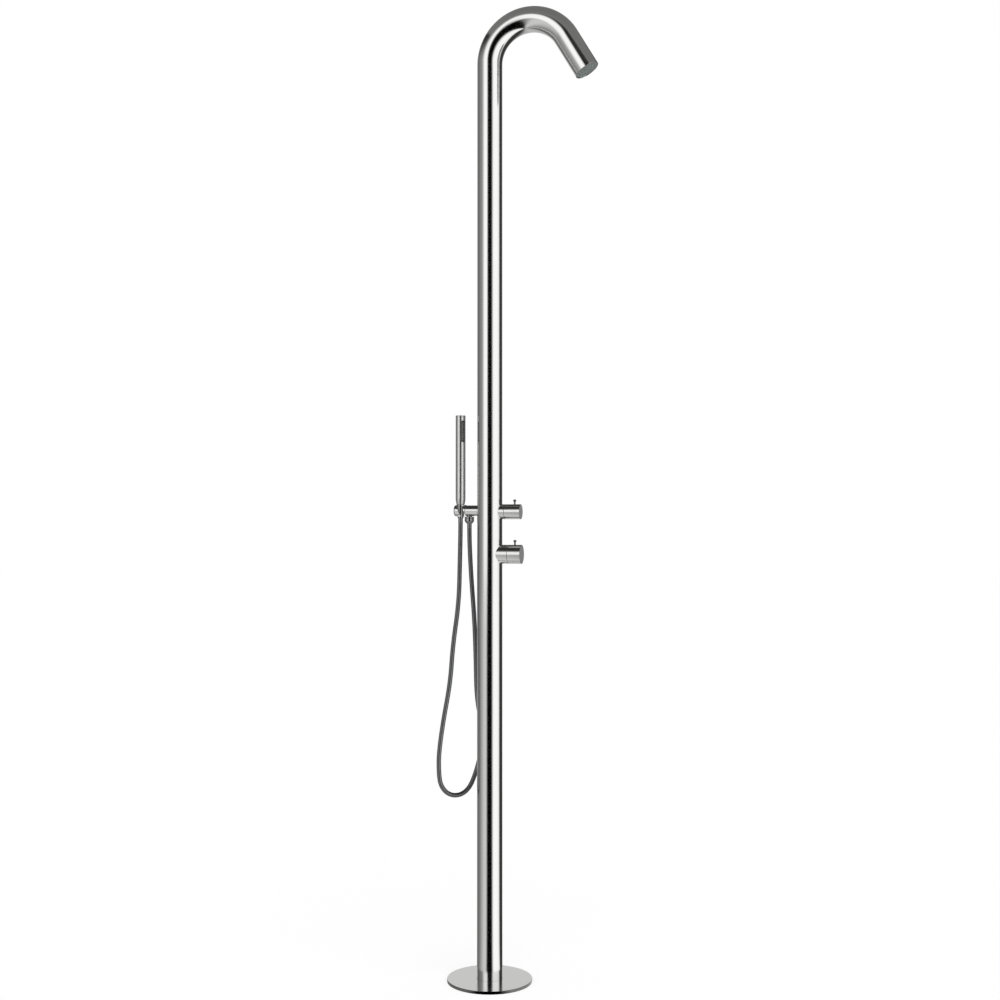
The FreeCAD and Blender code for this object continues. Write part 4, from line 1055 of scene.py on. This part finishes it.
class SHOWER_OT_hose(Operator):
    """Makes the hose with its nut and its cone"""

    bl_idname = "shower.hose"
    bl_label = "Hose"

    def execute(self, context):
        sizes = context.scene.holder_sizes
        finishes = context.scene.finishes
        route = self.smooth_route()
        radius = sizes.hose_diameter / 2
        piece = self.make_tube(route, radius, sizes.hose_pitch)
        piece.data.materials.append(hose_material("hose_steel_spiral", finishes.hose))
        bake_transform(piece)
        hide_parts("shower_hose")
        metal = steel("hose_metal_turned", finishes.dark_metal, 7000.0, 0.24, 0.2)
        foot = HOSE_ROUTE[-1][2]
        bore, seat, outside, groove = 0.004, 0.00655, 0.01125, 0.01085
        corners = [
            (foot, bore, 0.0002),
            (foot, radius + 0.0012, 0.0004),
            (foot + 0.0053, outside, 0.0012),
            (foot + 0.0120, outside, 0.0003),
            (foot + 0.0124, groove, 0.0002),
            (foot + 0.0130, groove, 0.0002),
            (foot + 0.0134, outside, 0.0003),
            (foot + 0.016, outside, 0.0010),
            (foot + 0.016, seat, 0.0002),
            (foot + 0.00925, seat, 0.0002),
            (foot + 0.00925, bore, 0.0002),
        ]
        nut = turned_piece("hose_nut_skin", corners, upright(-sizes.outlet_reach), closed=True)
        dress(nut, "post", metal, "hose_nut", slot="hose_metal")
        foot = HOSE_ROUTE[0][2]
        top = foot + 0.033
        slope = (SEAT_TOP - SEAT_FOOT) / 2 / sizes.head_diameter
        high = SEAT_TOP / 2 - 0.0003 + slope * 0.0015
        low = high - slope * 0.033
        thread = 0.006
        corners = [
            (foot, bore, 0.0002),
            (foot, low - 0.0003, 0.0006),
            (top, high, 0.0004),
            (top, thread, 0.0002),
            (top - 0.004, thread, 0.0002),
            (top - 0.004, bore, 0.0002),
        ]
        cone = turned_piece("hose_cone_skin", corners, upright(-sizes.reach), closed=True)
        dress(cone, "hose_end", metal, "hose_cone", slot="hose_metal")
        return {"FINISHED"}

    def smooth_route(self):
        """Points of the smooth spline that has the route as its control points."""
        curve = bpy.data.curves.new("hose_route", "CURVE")
        curve.dimensions = "3D"
        spline = curve.splines.new("NURBS")
        spline.points.add(len(HOSE_ROUTE) - 1)
        spline.points.foreach_set("co", np.array([(*point, 1.0) for point in HOSE_ROUTE]).ravel())
        spline.order_u = 3
        spline.use_endpoint_u = True
        spline.resolution_u = 24
        guide = bpy.data.objects.new("hose_route", curve)
        bpy.context.scene.collection.objects.link(guide)
        mesh = bpy.data.meshes.new_from_object(guide)
        points = np.zeros(len(mesh.vertices) * 3)
        mesh.vertices.foreach_get("co", points)
        bpy.data.objects.remove(guide)
        return points.reshape(-1, 3)

    def make_tube(self, route, radius, pitch):
        """Spiral tube: point = centre(s) + r(s, t) (cos t n + sin t b), s along the route and t around it.

        r = radius - groove (1 - ridge), where ridge = sin(pi x phase)^0.7 and phase = s / pitch - t / 2 pi.
        The ends are plain. n goes along without twist: the last n less its part along the next tangent.
        """
        steps = np.linalg.norm(np.diff(route, axis=0), axis=1)
        keep = np.concatenate([[True], steps > 1e-9])
        route = route[keep]
        distance = np.concatenate([[0], np.cumsum(np.linalg.norm(np.diff(route, axis=0), axis=1))])
        whole = distance[-1]
        rings = int(whole / pitch * 6)
        s = np.linspace(0, whole, rings)
        centre = np.stack([np.interp(s, distance, route[:, axis]) for axis in range(3)], -1)
        kernel = np.hanning(9)
        kernel /= kernel.sum()
        padded = np.pad(centre, ((4, 4), (0, 0)), mode="reflect", reflect_type="odd")
        centre = np.stack([np.convolve(padded[:, axis], kernel, "valid") for axis in range(3)], -1)
        tangent = np.gradient(centre, axis=0)
        tangent /= np.linalg.norm(tangent, axis=1)[:, None]
        normal = np.zeros_like(tangent)
        last = np.array((1.0, 0.0, 0.0))
        for row, direction in enumerate(tangent):
            last = last - direction * last.dot(direction)
            last /= np.linalg.norm(last)
            normal[row] = last
        binormal = np.cross(tangent, normal)
        sides = 24
        t = around(sides)[None, :]
        phase = (s[:, None] / pitch - t / (2 * np.pi)) % 1.0
        ridge = np.clip(np.sin(np.pi * phase), 0, 1) ** 0.7
        plain_end, groove = 0.011, 0.00045
        ridge = np.where(np.minimum(s, whole - s)[:, None] < plain_end, 1.0, ridge)
        reach = radius - groove * (1 - ridge)
        points = centre[:, None] + reach[..., None] * (
            np.cos(t)[..., None] * normal[:, None] + np.sin(t)[..., None] * binormal[:, None]
        )
        faces = grid_faces(rings, sides, False)
        ends = np.array([points[0].mean(0), points[-1].mean(0)])
        corners = np.concatenate([points.reshape(-1, 3), ends])
        j = np.arange(sides)
        following = (j + 1) % sides
        count = rings * sides
        last_ring = count - sides
        start_cap = np.stack([0 * j + count, following, j], -1)
        end_cap = np.stack([0 * j + count + 1, last_ring + j, last_ring + following], -1)
        mesh = bpy.data.meshes.new("hose_spiral")
        mesh.from_pydata(corners.tolist(), [], faces.tolist() + start_cap.tolist() + end_cap.tolist())
        attribute = mesh.attributes.new("ridge", "FLOAT", "POINT")
        attribute.data.foreach_set("value", np.concatenate([ridge.ravel(), [0, 0]]).astype(np.float32))
        finish_shading(mesh, 60)
        piece = bpy.data.objects.new("hose_spiral", mesh)
        bpy.context.scene.collection.objects.link(piece)
        return piece


class SHOWER_OT_hidden(Operator):
    """Gives the carried-over fittings inside the post and under the cover their finishes"""

    bl_idname = "shower.hidden"
    bl_label = "Hidden fittings"

    def execute(self, context):
        finishes = {
            "flange_steel": cast_metal("flange_steel_plain", (0.55, 0.55, 0.54)),
            "seal_rubber": plastic("seal_rubber_black", (0.04, 0.04, 0.04), 0.6),
            "inner_plastic": plastic("inner_plastic_dark", (0.10, 0.10, 0.11), 0.45),
            "copper_pipe": cast_metal("copper_pipe_bare", (0.72, 0.38, 0.24)),
            "valve_brass": cast_metal("valve_brass_machined", (0.66, 0.52, 0.26)),
            "cartridge_plastic": plastic("cartridge_plastic_pale", (0.80, 0.79, 0.74), 0.4),
            "spindle_steel": cast_metal("spindle_steel_turned", (0.55, 0.55, 0.54), 0.28),
            "hose_metal": cast_metal("nipple_steel_turned", (0.45, 0.45, 0.45), 0.28),
        }
        slots = {part["node"]: part["material_slot"] for part in frame["record"]["subparts"]}
        for name, node in frame["nodes"].items():
            finish = finishes.get(slots[name])
            if finish:
                node.data.materials.clear()
                node.data.materials.append(finish)
        return {"FINISHED"}


# Levels of the studio far away, for the world's light, and of the painted reflections that the floor glows
# with for gloss, by angle from the camera's side in degrees to its right.
FAR_PANELS = [
    (-180, 0.6), (-154, 0.65), (-142, 0.13), (-120, 0.14), (-103, 0.18), (-77, 0.26), (-65, 0.42),
    (-54, 0.85), (-46, 1.0), (-27, 1.0), (-16, 0.001), (16, 0.001), (34, 1.0), (68, 1.0),
    (92, 0.8), (100, 0.04), (142, 0.03), (149, 0.26), (158, 0.3), (166, 0.55), (180, 0.6),
]
NEAR_PANELS = [
    (-180, 0.5), (-154, 0.4), (-142, 0.14), (-120, 0.14), (-103, 0.19), (-89, 0.27), (-77, 0.38),
    (-60, 0.52), (-48, 0.6), (-34, 0.6), (-20, 0.001), (16, 0.001), (34, 1.0), (68, 1.0),
    (91, 0.8), (99, 0.04), (142, 0.03), (155, 0.15), (166, 0.4), (180, 0.5),
]


class SHOWER_OT_stage(Operator):
    """Makes the floor, the light and the camera"""

    bl_idname = "shower.stage"
    bl_label = "Stage"

    def execute(self, context):
        scene = context.scene
        settings = scene.stage_settings
        self.make_world(scene, settings)
        self.make_floor(settings)
        soft = bpy.data.lights.new("soft_lamp", "AREA")
        soft.shape = "RECTANGLE"
        soft.size = 0.9
        soft.size_y = 0.7
        soft.energy = settings.soft_lamp
        hung = self.put(scene, soft)
        hung.location = (0.15, 0, 2.5)
        hung.visible_camera = False
        wide = bpy.data.lights.new("wide_lamp", "SUN")
        wide.energy = settings.sun
        wide.angle = math.radians(50)
        hung = self.put(scene, wide)
        hung.rotation_euler = Vector((0.35, -0.55, 1.0)).to_track_quat("Z", "Y").to_euler()
        hung.visible_glossy = False
        camera = bpy.data.cameras.new("camera")
        camera.lens = settings.lens
        camera.sensor_width = 36.0
        camera.sensor_fit = "HORIZONTAL"
        scene.camera = self.put(scene, camera)
        scene.camera.location = settings.camera_place
        scene.camera.rotation_euler = Vector(settings.camera_aim).to_track_quat("-Z", "Y").to_euler()
        scene.view_settings.view_transform = "Standard"
        return {"FINISHED"}

    def put(self, scene, data):
        """A lamp or the camera as an object of the scene."""
        item = bpy.data.objects.new(data.name, data)
        scene.collection.objects.link(item)
        return item

    def panels(self, shading, x, y, stops):
        """Brightness of the studio by direction: dark behind the camera, bright panels on both sides of it.

        The angle is atan2 of the direction's part to the right of the camera's side and that towards it.
        """
        towards = (0.2672, -0.9636)
        right = (0.9636, 0.2672)
        ahead = x * towards[0] + y * towards[1]
        aside = x * right[0] + y * right[1]
        bearing = shading.add("Math", {"operation": "ARCTAN2"}, {0: aside, 1: ahead})
        places = [((degrees + 180) / 360, level) for degrees, level in stops]
        return shading.add("ValToRGB", {"stops": places}, {0: bearing / (2 * math.pi) + 0.5})

    def make_world(self, scene, settings):
        """White for the camera, the studio's panels for gloss, and even light for matt surfaces."""
        world = bpy.data.worlds.new("studio")
        scene.world = world
        world.use_nodes = True
        shading = Shading(world.node_tree)
        x, y, z = shading.parts(shading.add("TexCoord", None, None, "Generated"), 3)
        ceiling = shading.mix(shading.smooth(z, 0.7, 1.0), (0.03, 0.03, 0.03, 1), (0.01, 0.01, 0.01, 1))
        gloss = shading.mix(shading.smooth(z, 0.35, 0.62), self.panels(shading, x, y, FAR_PANELS), ceiling)
        soft = settings.soft_light
        seen = shading.ray("Camera") + shading.ray("Transmission")
        plain = shading.mix(seen, (soft, soft, soft, 1), (1, 1, 1, 1))
        glossy = shading.ray("Glossy")
        power = 1 + glossy * (settings.panel_light - 1)
        light = shading.mix(glossy, plain, gloss)
        background = shading.add("Background", None, {"Color": light, "Strength": power})
        shading.add("OutputWorld", None, {"Surface": background})

    def make_floor(self, settings):
        """Pale round floor: rings of growing radius, radius = 30 u^3. For glossy rays it glows with painted
        reflections of the studio's dark and bright panels.
        """
        u = np.linspace(0, 1, 24)[:, None]
        piece = surface_piece("floor", turned(0 * u, 30 * u**3, straight((0, 0, 0), (0, 0, -1)), 64))
        turn_faces(piece, upwards=True)
        material, shading = new_shading("pale_floor")
        x, y = shading.parts(shading.add("TexCoord", None, None, "Object"), 2)
        far = self.panels(shading, x, y, FAR_PANELS)
        near = self.panels(shading, x, y, NEAR_PANELS)
        gloss = shading.mix(shading.smooth(shading.distance(x, y), 15.0, 28.0), near, far)
        matt = shading.add("BsdfDiffuse", None, {"Color": (0.97, 0.97, 0.97, 1), "Roughness": 0.2})
        white = shading.add("Emission", None, {"Color": (1, 1, 1, 1), "Strength": 1.0})
        # Painted reflection: the floor glows with the panels' levels, seen only by glossy rays.
        glow = shading.add("Emission", None, {"Color": gloss, "Strength": settings.panel_light})
        seen = shading.add("MixShader", None, {0: shading.ray("Camera") * 0.75, 1: matt, 2: white})
        shading.surface(shading.add("MixShader", None, {0: shading.ray("Glossy"), 1: seen, 2: glow}))
        piece.data.materials.append(material)


# ---- Add-on ----


class SHOWER_PT_pieces(Panel):
    """Lists the sizes, the finishes and the pieces"""

    bl_idname = "SHOWER_PT_pieces"
    bl_label = "Shower post"
    bl_space_type = "VIEW_3D"
    bl_region_type = "UI"
    bl_category = "Shower post"

    def draw(self, context):
        for name, group in SETTINGS.items():
            box = self.layout.box()
            settings = getattr(context.scene, name)
            for key in group.__annotations__:
                box.prop(settings, key)
        for operator in OPERATORS:
            self.layout.operator(operator.bl_idname)


SETTINGS = {
    "post_sizes": PostSizes,
    "valve_sizes": ValveSizes,
    "holder_sizes": HolderSizes,
    "finishes": Finishes,
    "stage_settings": StageSettings,
}
OPERATORS = [
    SHOWER_OT_post,
    SHOWER_OT_spray,
    SHOWER_OT_foot,
    SHOWER_OT_knobs,
    SHOWER_OT_holder,
    SHOWER_OT_hand_shower,
    SHOWER_OT_hose,
    SHOWER_OT_hidden,
    SHOWER_OT_stage,
]


def register():
    for group in (*SETTINGS.values(), *OPERATORS, SHOWER_PT_pieces):
        bpy.utils.register_class(group)
    for name, group in SETTINGS.items():
        setattr(bpy.types.Scene, name, PointerProperty(type=group))


def unregister():
    for name in SETTINGS:
        delattr(bpy.types.Scene, name)
    for group in (SHOWER_PT_pieces, *reversed(OPERATORS), *reversed(list(SETTINGS.values()))):
        bpy.utils.unregister_class(group)


def main():
    """Registers the add-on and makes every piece."""
    register()
    bpy.ops.shower.post()
    bpy.ops.shower.spray()
    bpy.ops.shower.foot()
    bpy.ops.shower.knobs()
    bpy.ops.shower.holder()
    bpy.ops.shower.hand_shower()
    bpy.ops.shower.hose()
    bpy.ops.shower.hidden()
    bpy.ops.shower.stage()


if __name__ == "__main__":
    main()
